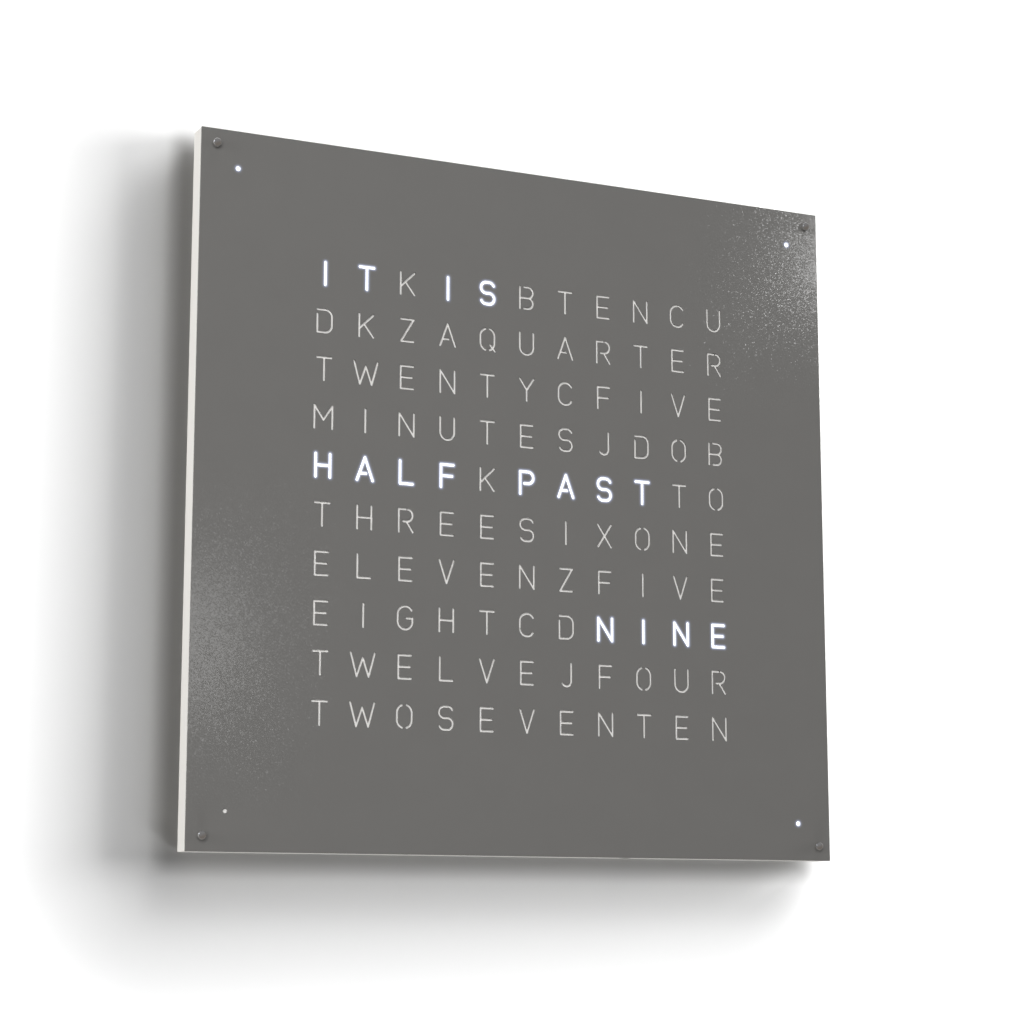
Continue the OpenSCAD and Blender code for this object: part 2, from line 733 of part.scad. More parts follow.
// A flat twin lead from the inlet's inner end across to the control board
module power_lead() placed() color(rubber_black) {
    top_z = control_floor_z + inlet_body_h;
    lead_t = 1.5;
    block(inlet_x - lead_w / 2, inlet_x + lead_w / 2, pocket_mid_d - lead_t, pocket_mid_d,
          top_z, top_z + 2 * lead_w);
    block(control_right_x - 2 * lead_w, inlet_x + lead_w / 2, pocket_mid_d - lead_t, pocket_mid_d,
          top_z + lead_w, top_z + 2 * lead_w);
    block(control_right_x - 2 * lead_w, control_right_x - lead_w, pocket_mid_d - lead_t,
          control_back_d, top_z + lead_w, top_z + 2 * lead_w);
}

// Light sensor ----------------------------------------------------------------------------

module sensor_board() placed() color(board_green)
    block(sensor_x - sensor_pocket_w / 2 + fit, sensor_x + sensor_pocket_w / 2 - fit,
          inside_d + fit / 2, sensor_front_d, sensor_board_z - sensor_board_t, sensor_board_z);

module light_sensor() placed() color(chip_black)
    block(sensor_x - 1.5, sensor_x + 1.5, pocket_mid_d - 1.5, pocket_mid_d + 1.5,
          sensor_board_z, sensor_board_z + sensor_chip_h);

module sensor_window() placed() color(opal) {
    upright(sensor_x, pocket_mid_d, sensor_board_z + sensor_chip_h + 0.3, face_size / 2, window_d);
    upright(sensor_x, pocket_mid_d, sensor_end_z - 1.5, sensor_end_z, window_d + 2);
}

module sensor_lead() placed() color(cable_grey)
    block(sensor_x - lead_w / 2, sensor_x + lead_w / 2, flat_d, flat_d + flat_t,
          sensor_header_z, sensor_board_z - sensor_board_t);

// Antenna ---------------------------------------------------------------------------------

module ferrite_rod() placed() color(ferrite_grey)
    upright(antenna_x, pocket_mid_d, -ferrite_len / 2, ferrite_len / 2, ferrite_d);

module antenna_coil() placed() color(copper) difference() {
    upright(antenna_x, pocket_mid_d, -coil_len / 2, coil_len / 2, coil_d);
    upright(antenna_x, pocket_mid_d, -coil_len, coil_len, ferrite_d + 2 * screw_gap);
}

module antenna_clips() placed() color(white) difference() {
    for (s = [-1, 1])
        block(antenna_x - ferrite_d / 2 - 1.5, antenna_x + ferrite_d / 2 + 1.5,
              pocket_mid_d - 1, pocket_front_d,
              s * (ferrite_len / 2 - clip_from_end) - clip_w / 2,
              s * (ferrite_len / 2 - clip_from_end) + clip_w / 2);
    upright(antenna_x, pocket_mid_d, -ferrite_len, ferrite_len, ferrite_d + 2 * screw_gap);
}

module antenna_lead() placed() color(cable_grey) {
    coil_edge = sqrt(pow(coil_d / 2, 2) - pow(pocket_mid_d - flat_d - flat_t, 2));
    block(antenna_x + coil_edge + 0.1, antenna_header_x, flat_d, flat_d + flat_t,
          -lead_w / 2, lead_w / 2);
}

// Wall mounting ---------------------------------------------------------------------------

// A quarter disc that rounds the outside of a bend, turned by a
module bend(a) {
    rotate(a) intersection() {
        circle(rail_t);
        square(rail_t);
    }
}

// Rail profile in depth (first axis) and height: flange on the case, bend, lip hanging down
module rail_profile() {
    translate([back_d - rail_t, rail_bend_z]) square([rail_t, rail_flange_h]);
    translate([rail_lip_d + rail_t, rail_bend_z - rail_t])
        square([back_d - rail_lip_d - 2 * rail_t, rail_t]);
    translate([back_d - rail_t, rail_bend_z]) bend(-90);
    translate([rail_lip_d + rail_t, rail_bend_z - rail_t]) bend(90);
    translate([rail_lip_d, rail_bend_z - rail_t - lip_len]) square([rail_t, lip_len]);
}

// Bracket profile: flange on the wall, bend, lip standing up
module bracket_profile() {
    translate([0, bracket_bend_z - bracket_flange_h]) square([rail_t, bracket_flange_h]);
    translate([rail_t, bracket_bend_z])
        square([bracket_lip_d - rail_t, rail_t]);
    translate([rail_t, bracket_bend_z]) bend(90);
    translate([bracket_lip_d, bracket_bend_z + rail_t]) bend(-90);
    translate([bracket_lip_d, bracket_bend_z + rail_t])
        square([rail_t, bracket_lip_len - rail_t]);
}

// Draws a profile's width along X
module sheet_bar(w) {
    rotate([90, 0, -90]) translate([0, 0, -w / 2]) linear_extrude(w) children();
}

module hanger_rail() placed() color(alu) difference() {
    sheet_bar(rail_w) rail_profile();
    for (x = rail_screw_x) post(x, rail_z, 0, back_d + cut, screw_d + 2 * screw_gap);
}

module hanger_rail_screws() placed() color(zinc)
    for (x = rail_screw_x) screw(x, rail_z, back_d - rail_t, screw_len + rail_t);

module wall_bumpers() placed() color(rubber_black)
    for (s = [-1, 1])
        post(s * (cover_size / 2 - bumper_inset), -(cover_size / 2 - bumper_inset), 0, back_d, bumper_d);

module wall_bracket() placed() color(zinc) difference() {
    sheet_bar(bracket_w) bracket_profile();
    for (s = [-1, 1])
        post(s * wall_screw_pitch / 2, screw_z, -cut, rail_t + cut, wall_screw_hole_d);
}

front_cover();
ball_magnet(-1, 1);  // ball_magnet_top_left
ball_magnet(1, 1);  // ball_magnet_top_right
ball_magnet(-1, -1);  // ball_magnet_bottom_left
ball_magnet(1, -1);  // ball_magnet_bottom_right
steel_inserts();
diffuser_sheet();
light_grid();
led_board();
letter_leds();
led_drivers();
led_board_screws();
minute_light_discs();
minute_light_boards();
minute_light_leds();
minute_light_cables();
case_frame();
back_cover();
back_cover_screws();
control_board();
control_board_spacers();
control_board_screws();
control_chips();
quartz_crystal();
capacitors();
coin_cell_holder();
coin_cell();
ribbon_cable();
cable_headers();
button(-1);  // button_left
button(0);  // button_middle
button(1);  // button_right
button_switches();
power_inlet();
power_inlet_pin();
power_lead();
light_sensor();
sensor_board();
sensor_window();
sensor_lead();
ferrite_rod();
antenna_coil();
antenna_clips();
antenna_lead();
hanger_rail();
hanger_rail_screws();
wall_bumpers();
wall_bracket();
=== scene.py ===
"""Wall-hung word clock: finishes, stencil-cut cover, glow, fasteners and studio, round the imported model.

Lengths are metres in the row frame: X to the right, Z up and Y into the wall, with the origin on the
wall midway between the two wall screws, so the viewer stands on the -Y side.
"""

import functools
import logging
import math
from collections.abc import Callable, Iterable
from dataclasses import dataclass, field
from enum import Enum

import bmesh
import bpy
from mathutils import Matrix, Vector


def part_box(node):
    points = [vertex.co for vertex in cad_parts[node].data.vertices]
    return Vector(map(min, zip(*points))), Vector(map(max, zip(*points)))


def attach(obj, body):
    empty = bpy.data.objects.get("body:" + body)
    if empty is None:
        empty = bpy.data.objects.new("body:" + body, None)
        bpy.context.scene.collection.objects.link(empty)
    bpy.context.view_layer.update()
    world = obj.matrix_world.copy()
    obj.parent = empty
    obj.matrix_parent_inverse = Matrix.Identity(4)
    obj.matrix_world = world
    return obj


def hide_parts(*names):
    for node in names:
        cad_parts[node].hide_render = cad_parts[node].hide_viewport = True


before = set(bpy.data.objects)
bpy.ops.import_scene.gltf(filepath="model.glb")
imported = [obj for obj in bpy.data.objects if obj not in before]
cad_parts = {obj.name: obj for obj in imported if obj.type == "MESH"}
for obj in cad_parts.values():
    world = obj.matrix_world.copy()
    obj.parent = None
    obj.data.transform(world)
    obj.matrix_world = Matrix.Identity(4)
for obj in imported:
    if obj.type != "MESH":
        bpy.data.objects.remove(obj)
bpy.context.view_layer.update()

LOG = logging.getLogger("word_clock")
MM = 0.001
WELD = 0.001 * MM  # points closer together than this are one
NEAR = 0.01 * MM  # a point this close to a face lies on it
DEGREES_PER_FACET = 9  # on a letter's round strokes
FEWEST_FACETS = 4  # on such a stroke, however short
# On the cover the glow attribute holds a painted halo of light; on the opal sheet and discs the light that
# comes through.
GLOW = "glow"  # the vertices' attribute that a finish reads as the light that comes through
BALLS = tuple(f"ball_magnet_{end}_{side}" for end in ("top", "bottom") for side in ("left", "right"))

Rgb = tuple[float, float, float]
Point = tuple[float, float]
Point3 = tuple[float, float, float]
Socket = bpy.types.NodeSocket
Node = bpy.types.Node
Piece = bpy.types.Object
Mesh = bpy.types.Mesh
Draft = bmesh.types.BMesh
Verts = list[bmesh.types.BMVert]
Edges = list[bmesh.types.BMEdge]


def srgb(*channels: float) -> Rgb:
    """Linear colour of an sRGB colour given as 0 to 255."""
    shares = (channel / 255 for channel in channels)
    return tuple(share / 12.92 if share <= 0.04045 else ((share + 0.055) / 1.055) ** 2.4 for share in shares)


def darker(colour: Rgb, share: float) -> Rgb:
    """A colour with a share of its light taken away."""
    return tuple(channel * (1 - share) for channel in colour)


# ---------------------------------------------------------------- finishes


class Graph:
    """A material's or a world's node tree, with short calls for what the finishes share."""

    def __init__(self, tree: bpy.types.NodeTree) -> None:
        """Takes the tree over and empties it."""
        self.tree = tree
        tree.nodes.clear()

    def add(self, kind: str, **settings: object) -> Node:
        """Adds a node.

        Args:
            kind: the node's type name without the ShaderNode prefix.
            settings: properties to set on it.

        Returns:
            The new node.
        """
        node = self.tree.nodes.new("ShaderNode" + kind)
        for name, value in settings.items():
            setattr(node, name, value)
        return node

    def wire(self, source: Socket | float | Iterable[float], target: Socket) -> None:
        """Links a varying value to an input, or sets a constant on it."""
        if isinstance(source, Socket):
            self.tree.links.new(source, target)
        else:
            target.default_value = source

    def place(self, stretch: Point3 = (1, 1, 1), shift: Point3 = (0, 0, 0)) -> Socket:
        """The point on the object, in metres, stretched and shifted.

        Args:
            stretch: factor along each axis; a small one draws a pattern out along that axis.
            shift: offset added after the stretch.

        Returns:
            The socket that gives the point.
        """
        mapping = self.add("Mapping")
        self.wire(stretch, mapping.inputs["Scale"])
        self.wire(shift, mapping.inputs["Location"])
        self.wire(self.add("TexCoord").outputs["Object"], mapping.inputs["Vector"])
        return mapping.outputs["Vector"]

    def noise(self, point: Socket, scale: float, detail: float = 2) -> Socket:
        """A soft random value from 0 to 1 that changes over 1/scale metres."""
        node = self.add("TexNoise")
        self.wire(scale, node.inputs["Scale"])
        self.wire(detail, node.inputs["Detail"])
        self.wire(point, node.inputs["Vector"])
        return node.outputs["Fac"]

    def spread(self, value: Socket, low: float, high: float,
               start: float = 0.3, end: float = 0.7, soft: bool = False) -> Socket:
        """Maps start..end of a value onto low..high, clamped, in a straight line or with soft ends."""
        node = self.add("MapRange", interpolation_type="SMOOTHSTEP" if soft else "LINEAR")
        for name, number in (("Value", value), ("From Min", start), ("From Max", end), ("To Min", low),
                             ("To Max", high)):
            self.wire(number, node.inputs[name])
        return node.outputs["Result"]

    def maths(self, operation: str, first: Socket, second: Socket | float = 0) -> Socket:
        """One arithmetic step on a varying value."""
        node = self.add("Math", operation=operation)
        self.wire(first, node.inputs[0])
        self.wire(second, node.inputs[1])
        return node.outputs[0]

    def vector(self, operation: str, first: Socket, second: Socket | Point3 = (0, 0, 0)) -> Socket:
        """One step on vectors."""
        node = self.add("VectorMath", operation=operation)
        self.wire(first, node.inputs[0])
        self.wire(second, node.inputs["Scale" if operation == "SCALE" else 1])
        return node.outputs["Value" if operation == "DOT_PRODUCT" else "Vector"]

    def part(self, vector: Socket, axis: str) -> Socket:
        """One coordinate of a point or of a direction."""
        node = self.add("SeparateXYZ")
        self.wire(vector, node.inputs[0])
        return node.outputs[axis]

    def blend(self, factor: Socket, first: Rgb | Socket, second: Rgb | Socket) -> Socket:
        """Mixes two colours by a varying factor."""
        node = self.add("Mix", data_type="RGBA")
        self.wire(factor, node.inputs["Factor"])
        for name, colour in (("A", first), ("B", second)):
            socket = next(s for s in node.inputs if s.name == name and s.type == "RGBA")
            self.wire(colour if isinstance(colour, Socket) else (*colour, 1), socket)
        return next(s for s in node.outputs if s.type == "RGBA")

    def shift_between(self, factor: Socket, first: Socket, second: Socket) -> Socket:
        """Goes from one shader to another by a varying factor."""
        node = self.add("MixShader")
        for source, target in zip((factor, first, second), node.inputs):
            self.wire(source, target)
        return node.outputs["Shader"]

    def relief(self, height: Socket, depth: float) -> Socket:
        """A normal that follows a height from 0 to 1, in relief of the given depth in metres."""
        node = self.add("Bump")
        self.wire(depth, node.inputs["Distance"])
        self.wire(height, node.inputs["Height"])
        return node.outputs["Normal"]


@dataclass(frozen=True)
class Finish:
    """A surface finish: a shader with a little uneven colour, gloss and relief.

    Attributes:
        name: the material's name.
        slot: the record's material slot that the finish belongs to.
        colour: linear base colour.
        roughness: middle of the roughness.
        metallic: 1 for bare metal.
        specular: strength of a non-metal's reflection, 0.5 being usual.
        mottle: share by which the colour darkens in patches.
        mottle_scale: patches to a metre.
        stretch: draws the patches and the relief out along an axis.
        relief: depth of the fine relief in metres.
        relief_scale: relief grains to a metre.
        uneven: how far the roughness strays from its middle.
        coat: strength of a clear coat.
        transmission: share of light let through.
    """

    name: str
    slot: str
    colour: Rgb
    roughness: float
    metallic: float = 0.0
    specular: float = 0.5
    mottle: float = 0.06
    mottle_scale: float = 120.0
    stretch: Point3 = (1.0, 1.0, 1.0)
    relief: float = 0.00001
    relief_scale: float = 2500.0
    uneven: float = 0.05
    coat: float = 0.0
    transmission: float = 0.0

    @functools.cache
    def material(self) -> bpy.types.Material:
        """The finish as a material, made once."""
        material = bpy.data.materials.new(self.name)
        material.use_nodes = True
        graph = Graph(material.node_tree)
        shader = graph.add("BsdfPrincipled")
        for name, value in (("Metallic", self.metallic), ("Specular IOR Level", self.specular),
                            ("Coat Weight", self.coat), ("Transmission Weight", self.transmission)):
            graph.wire(value, shader.inputs[name])
        self.shade(graph, shader)
        graph.wire(shader.outputs["BSDF"], graph.add("OutputMaterial").inputs["Surface"])
        return material

    def shade(self, graph: Graph, shader: Node) -> None:
        """Wires the finish's colour, gloss and relief into the shader."""
        point = graph.place(self.stretch)
        grain = graph.noise(point, self.relief_scale, detail=3)
        graph.wire(self.tint(graph, point), shader.inputs["Base Color"])
        graph.wire(graph.spread(grain, self.roughness - self.uneven, self.roughness + self.uneven),
                   shader.inputs["Roughness"])
        graph.wire(self.normal(graph, grain), shader.inputs["Normal"])

    def tint(self, graph: Graph, point: Socket) -> Socket:
        """The colour at a point: a little darker in patches."""
        patches = graph.spread(graph.noise(point, self.mottle_scale), 0, 1)
        return graph.blend(patches, darker(self.colour, self.mottle), self.colour)

    def normal(self, graph: Graph, grain: Socket) -> Socket:
        """The normal over the fine relief."""
        return graph.relief(grain, self.relief)


@dataclass(frozen=True)
class PowderCoat(Finish):
    """A matt powder coating under a clear skin, whose grains lean a little and so sparkle in a lamp's light.

    Attributes:
        grain: width of a grain in metres.
        lean: how far the most slanted grains lean, as a share of the upright normal.
        upright: power by which most grains stand nearly upright.
        coat_roughness: roughness of the clear skin.
        painted_halo_near: colour of the painted halo of light at a lit letter's edge.
        painted_halo_far: its colour further out.
        painted_halo_level: strength of the painted halo at the edge.
        painted_halo_reach: how far the cover comes forward, off the lit sheet, before the painted halo has
            gone.
    """

    grain: float = 0.0006
    lean: float = 0.07
    upright: float = 1.3
    coat_roughness: float = 0.09
    painted_halo_near: Rgb = (1.0, 1.0, 1.0)
    painted_halo_far: Rgb = (1.0, 1.0, 1.0)
    painted_halo_level: float = 1.0
    painted_halo_reach: float = 0.01

    def shade(self, graph: Graph, shader: Node) -> None:
        """Adds the clear skin over the grains and a painted halo of light round the lit letters."""
        Finish.shade(self, graph, shader)
        graph.wire(self.coat_roughness, shader.inputs["Coat Roughness"])
        graph.wire(shader.inputs["Normal"].links[0].from_socket, shader.inputs["Coat Normal"])
        # Painted halo: emission round the lit slots, which fades out as the cover comes forward off the
        # sheet.
        glow = graph.add("Attribute", attribute_name=GLOW).outputs["Fac"]
        graph.wire(graph.blend(glow, self.painted_halo_far, self.painted_halo_near), shader.inputs["Emission Color"])
        forward = graph.part(graph.add("ObjectInfo").outputs["Location"], "Y")
        seated = graph.spread(forward, 0, self.painted_halo_level, -self.painted_halo_reach, 0)
        graph.wire(graph.maths("MULTIPLY", glow, seated), shader.inputs["Emission Strength"])

    def normal(self, graph: Graph, grain: Socket) -> Socket:
        """The normal of the grains: each cell leans its own way by its own amount."""
        cells = graph.add("TexVoronoi")
        graph.wire(1 / self.grain, cells.inputs["Scale"])
        graph.wire(graph.place(), cells.inputs["Vector"])
        way = cells.outputs["Color"]
        amount = graph.maths("MULTIPLY", graph.maths("POWER", graph.part(way, "Y"), self.upright), self.lean)
        aside = graph.vector("SCALE", graph.vector("SUBTRACT", way, (0.5, 0.5, 0.5)), amount)
        upright = graph.add("NewGeometry").outputs["Normal"]
        return graph.vector("NORMALIZE", graph.vector("ADD", upright, aside))


@dataclass(frozen=True)
class OpalSheet(Finish):
    """Opal acrylic that glows where a light stands behind it.

    Attributes:
        light: colour of the light that comes through.
        level: its strength where the sheet is fully lit.
    """

    light: Rgb = (1.0, 1.0, 1.0)
    level: float = 2.0

    def shade(self, graph: Graph, shader: Node) -> None:
        """Adds the light that the attribute on the sheet lets through."""
        Finish.shade(self, graph, shader)
        graph.wire((*self.light, 1), shader.inputs["Emission Color"])
        lit = graph.add("Attribute", attribute_name=GLOW).outputs["Fac"]
        graph.wire(graph.maths("MULTIPLY", lit, self.level), shader.inputs["Emission Strength"])


@dataclass(frozen=True)
class CircuitBoard(Finish):
    """Solder mask with copper tracks that show through it as a fine maze.

    Attributes:
        track: colour of the mask over a track.
        field: width of a field between tracks in metres.
        wander: how far the tracks leave a regular grid, up to 1.
        track_edge: distances from a track's middle at which it begins to fade and has gone, in fields.
    """

    track: Rgb = (0.1, 0.3, 0.1)
    field: float = 0.008
    wander: float = 0.6
    track_edge: Point = (0.04, 0.07)

    def shade(self, graph: Graph, shader: Node) -> None:
        """Wires the tracks as colour and relief."""
        cells = graph.add("TexVoronoi", distance="CHEBYCHEV", feature="DISTANCE_TO_EDGE")
        graph.wire(1 / self.field, cells.inputs["Scale"])
        graph.wire(self.wander, cells.inputs["Randomness"])
        graph.wire(graph.place(self.stretch), cells.inputs["Vector"])
        ridge = graph.spread(cells.outputs["Distance"], 1, 0, *self.track_edge)
        graph.wire(graph.blend(ridge, self.colour, self.track), shader.inputs["Base Color"])
        graph.wire(graph.spread(ridge, self.roughness, self.roughness - self.uneven, 0, 1),
                   shader.inputs["Roughness"])
        graph.wire(graph.relief(ridge, self.relief), shader.inputs["Normal"])


@dataclass(frozen=True)
class BandedFinish(Finish):
    """A finish with regular bands across it, such as wire turns, cable cores or turning marks.

    Attributes:
        axis: the axis that the bands follow one another along.
        pitch: distance between bands in metres.
        depth: depth of the groove between bands in metres.
        shade_share: share of its light that the colour loses in a groove.
    """

    axis: str = "X"
    pitch: float = 0.001
    depth: float = 0.0001
    shade_share: float = 0.4

    def bands(self, graph: Graph) -> Socket:
        """A value that is 1 along the middle of a band and 0 in a groove."""
        # A wave texture with a distortion of 0 has one band in each pi/10 of its scaled coordinate.
        wave = graph.add("TexWave", bands_direction=self.axis)
        graph.wire(math.pi / 10 / self.pitch, wave.inputs["Scale"])
        graph.wire(graph.place(), wave.inputs["Vector"])
        return wave.outputs["Fac"]

    def tint(self, graph: Graph, point: Socket) -> Socket:
        """The colour at a point: darker in the grooves, as painted shade."""
        lit = graph.spread(self.bands(graph), 0, 1, 0, 0.5)
        return graph.blend(lit, darker(self.colour, self.shade_share), self.colour)

    def normal(self, graph: Graph, grain: Socket) -> Socket:
        """The normal over the bands."""
        return graph.relief(self.bands(graph), self.depth)


@dataclass(frozen=True)
class LedPackage(Finish):
    """A white lamp package whose round lens is filled with yellow phosphor.

    Attributes:
        lens: colour of the lens.
        lens_from: the Y at which the lens stands out of the package, in metres.
    """

    lens: Rgb = (0.8, 0.6, 0.1)
    lens_from: float = -0.0138

    def tint(self, graph: Graph, point: Socket) -> Socket:
        """The colour at a point: the lens's in front of the package's face."""
        front = graph.maths("LESS_THAN", graph.part(point, "Y"), self.lens_from)
        return graph.blend(front, self.colour, self.lens)


# The cover's glow colours and level paint a halo of light round the lit letters and minute lights.
COVER_COAT = PowderCoat("cover_powder_coat", "cover_coating", srgb(106, 105, 103), 0.6, mottle=0.02,
                        mottle_scale=40, specular=0.2, coat=1.0,
                        painted_halo_near=(0.88, 0.92, 1.0), painted_halo_far=(0.5, 0.6, 1.0), painted_halo_level=0.95)
CHROME = Finish("ball_chrome", "ball_polish", srgb(244, 243, 241), 0.13, metallic=1, mottle=0.03,
                relief=0.0000005, uneven=0.02)
INSERT = Finish("insert_zinc", "insert_steel", srgb(168, 168, 165), 0.38, metallic=1, mottle=0.15,
                mottle_scale=600)
OPAL = OpalSheet("opal_acrylic", "opal_sheet", srgb(240, 238, 235), 0.4, mottle=0.01, relief=0.000002,
                 light=(0.78, 0.84, 1.0), level=2.3)
MOULDING = Finish("white_moulding", "white_moulding", srgb(228, 227, 222), 0.45, mottle=0.03,
                  relief=0.00002, relief_scale=1800)
BOARD = CircuitBoard("circuit_board", "circuit_board", srgb(18, 74, 46), 0.35, track=srgb(40, 112, 66),
                     stretch=(1, 0.01, 1), relief=0.00003, uneven=0.1)
LED = LedPackage("led_package", "lit_led", srgb(232, 230, 222), 0.4, lens=srgb(226, 190, 70))
CHIP = Finish("chip_epoxy", "chip_body", srgb(30, 30, 31), 0.55, mottle=0.25, mottle_scale=2500,
              relief=0.00003, relief_scale=5000)
SCREW = Finish("screw_zinc", "screw_steel", srgb(178, 178, 176), 0.28, metallic=1, mottle=0.12,
               mottle_scale=900, uneven=0.1)
RIBBON = BandedFinish("ribbon_jacket", "cable_jacket", srgb(150, 150, 148), 0.5, axis="X", pitch=0.00127,
                      depth=0.0003)
LEAD = Finish("lead_jacket", "lead_jacket", srgb(24, 24, 25), 0.5, mottle=0.1, relief=0.00002)
LACQUER = Finish("case_lacquer", "case_lacquer", srgb(236, 233, 227), 0.42, mottle=0.012,
                 mottle_scale=60, relief=0.00001, relief_scale=900, uneven=0.03, coat=0.15)
BACK = Finish("back_panel_grain", "back_panel", srgb(60, 60, 62), 0.5, mottle=0.3, mottle_scale=450,
              relief=0.00016, relief_scale=900, uneven=0.12)
CAN = Finish("capacitor_can", "capacitor_can", srgb(186, 187, 190), 0.3, metallic=1, mottle=0.1)
BUTTON = BandedFinish("button_lacquered", "button_metal", srgb(238, 235, 229), 0.35,
                      axis="Z", pitch=0.0002, depth=0.000008, coat=0.15)
INLET = Finish("inlet_nylon", "inlet_body", srgb(26, 26, 27), 0.48, mottle=0.12, relief=0.00002)
BRASS = Finish("contact_brass", "contact_brass", srgb(206, 170, 88), 0.25, metallic=1, mottle=0.12)
CLEAR = Finish("clear_rod", "clear_rod", srgb(250, 250, 250), 0.08, transmission=0.92, mottle=0.01,
               relief=0.000001, uneven=0.03)
FERRITE = Finish("ferrite_core", "ferrite", srgb(52, 52, 55), 0.5, mottle=0.4, mottle_scale=3000,
                 relief=0.00003, specular=0.7)
COIL = BandedFinish("coil_wire", "coil_wire", srgb(164, 84, 36), 0.3, metallic=0.8, axis="Z",
                    pitch=0.0003, depth=0.00015)
RAIL = Finish("rail_anodised", "rail_aluminium", srgb(176, 178, 180), 0.36, metallic=1, mottle=0.1,
              mottle_scale=700, stretch=(0.01, 1, 1), relief=0.000008, relief_scale=4000, uneven=0.08)
BRACKET = Finish("bracket_zinc", "bracket_steel", srgb(166, 168, 170), 0.4, metallic=1, mottle=0.28,
                 mottle_scale=260, relief=0.00001, uneven=0.1)
RUBBER = Finish("bumper_rubber", "bumper_rubber", srgb(30, 30, 31), 0.85, mottle=0.2, mottle_scale=900,
                relief=0.00008, relief_scale=2200, specular=0.3)

NODE_FINISHES: dict[Finish, tuple[str, ...]] = {
    INSERT: ("steel_inserts",),
    MOULDING: ("light_grid", "cable_headers", "control_board_spacers", "antenna_clips"),
    BOARD: ("led_board", "control_board", "minute_light_boards", "sensor_board"),
    LED: ("letter_leds", "minute_light_leds"),
    CHIP: ("led_drivers", "control_chips", "coin_cell_holder", "button_switches", "light_sensor"),
    RIBBON: ("ribbon_cable", "minute_light_cables", "sensor_lead", "antenna_lead"),
    LEAD: ("power_lead",),
    LACQUER: ("case_frame",),
    BACK: ("back_cover",),
    CAN: ("capacitors", "coin_cell", "quartz_crystal"),
    BUTTON: ("button_left", "button_middle", "button_right"),
    INLET: ("power_inlet",),
    BRASS: ("power_inlet_pin",),
    CLEAR: ("sensor_window",),
    FERRITE: ("ferrite_rod",),
    COIL: ("antenna_coil",),
    RAIL: ("hanger_rail",),
    BRACKET: ("wall_bracket",),
}


def dress_nodes() -> None:
    """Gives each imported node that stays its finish."""
    for finish, names in NODE_FINISHES.items():
        for name in names:
            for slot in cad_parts[name].material_slots:
                slot.material = finish.material()
            LOG.info("dressed %s as %s", name, finish.name)


# ---------------------------------------------------------------- mesh work


def turn(bm: Draft, verts: Verts, degrees: float, axis: str) -> None:
    """Turns vertices about an axis through the origin."""
    bmesh.ops.rotate(bm, verts=verts, cent=(0, 0, 0), matrix=Matrix.Rotation(math.radians(degrees), 3, axis))


def block(bm: Draft, low: Vector, high: Vector) -> Verts:
    """Adds a block between two corners and returns its vertices."""
    verts = bmesh.ops.create_cube(bm, size=1)["verts"]
    bmesh.ops.scale(bm, vec=high - low, verts=verts)
    bmesh.ops.translate(bm, vec=(low + high) / 2, verts=verts)
    return verts


def peg(bm: Draft, centre: Vector, diameter: float, length: float, segments: int) -> Verts:
    """Adds a cylinder along Y about a centre and returns its vertices."""
    verts = bmesh.ops.create_cone(bm, cap_ends=True, segments=segments, radius1=diameter / 2,
                                  radius2=diameter / 2, depth=length)["verts"]
    turn(bm, verts, -90, "X")
    bmesh.ops.translate(bm, vec=centre, verts=verts)
    return verts


def reach_of(edge: bmesh.types.BMEdge) -> float:
    """How far an edge reaches along Y."""
    return abs(edge.verts[0].co.y - edge.verts[1].co.y)


def rounded(bm: Draft, edges: Edges, radius: float, segments: int = 1) -> None:
    """Rounds edges, or breaks them where it is given no more than one segment."""
    bmesh.ops.bevel(bm, geom=edges, offset=radius, offset_type="OFFSET", affect="EDGES",
                    segments=segments, profile=0.5, material=-1)


def round_corners(bm: Draft, radius: float, segments: int) -> None:
    """Rounds the edges of a plate that run along Y."""
    rounded(bm, [edge for edge in bm.edges if reach_of(edge) > NEAR], radius, segments)


def turned(bm: Draft, profile: Iterable[Point], segments: int) -> Verts:
    """Spins an open profile round the Y axis into a closed solid.

    Args:
        bm: the mesh to add to.
        profile: points as (radius, distance along Y), from axis to axis.
        segments: steps round the axis.

    Returns:
        The new vertices.
    """
    verts = [bm.verts.new((radius, along, 0)) for radius, along in profile]
    edges = [bm.edges.new(pair) for pair in zip(verts, verts[1:])]
    before = set(bm.verts) - set(verts)
    bmesh.ops.spin(bm, geom=verts + edges, cent=(0, 0, 0), axis=(0, 1, 0), dvec=(0, 0, 0),
                   angle=math.tau, steps=segments, use_merge=True, use_duplicate=False)
    made = [vert for vert in bm.verts if vert not in before]
    bmesh.ops.remove_doubles(bm, verts=made, dist=WELD)
    made = [vert for vert in bm.verts if vert not in before]
    faces = {face for vert in made for face in vert.link_faces}
    bmesh.ops.recalc_face_normals(bm, faces=list(faces))
    return made


def piece_of(bm: Draft, name: str, finish: Finish | None = None, smooth_below: float = 30) -> Piece:
    """Makes an object of a mesh in the making, and frees the latter.

    Args:
        bm: the mesh; its place is in its vertices.
        name: the object's name.
        finish: what it is finished in, or None for a tool.
        smooth_below: edges whose faces turn by less than this, in degrees, are shaded smooth.

    Returns:
        The object, linked to the scene.
    """
    mesh = bpy.data.meshes.new(name)
    bm.to_mesh(mesh)
    bm.free()
    piece = bpy.data.objects.new(name, mesh)
    bpy.context.scene.collection.objects.link(piece)
    if finish:
        mesh.materials.append(finish.material())
    mesh.shade_smooth()
    mesh.set_sharp_from_angle(angle=math.radians(smooth_below))
    return piece


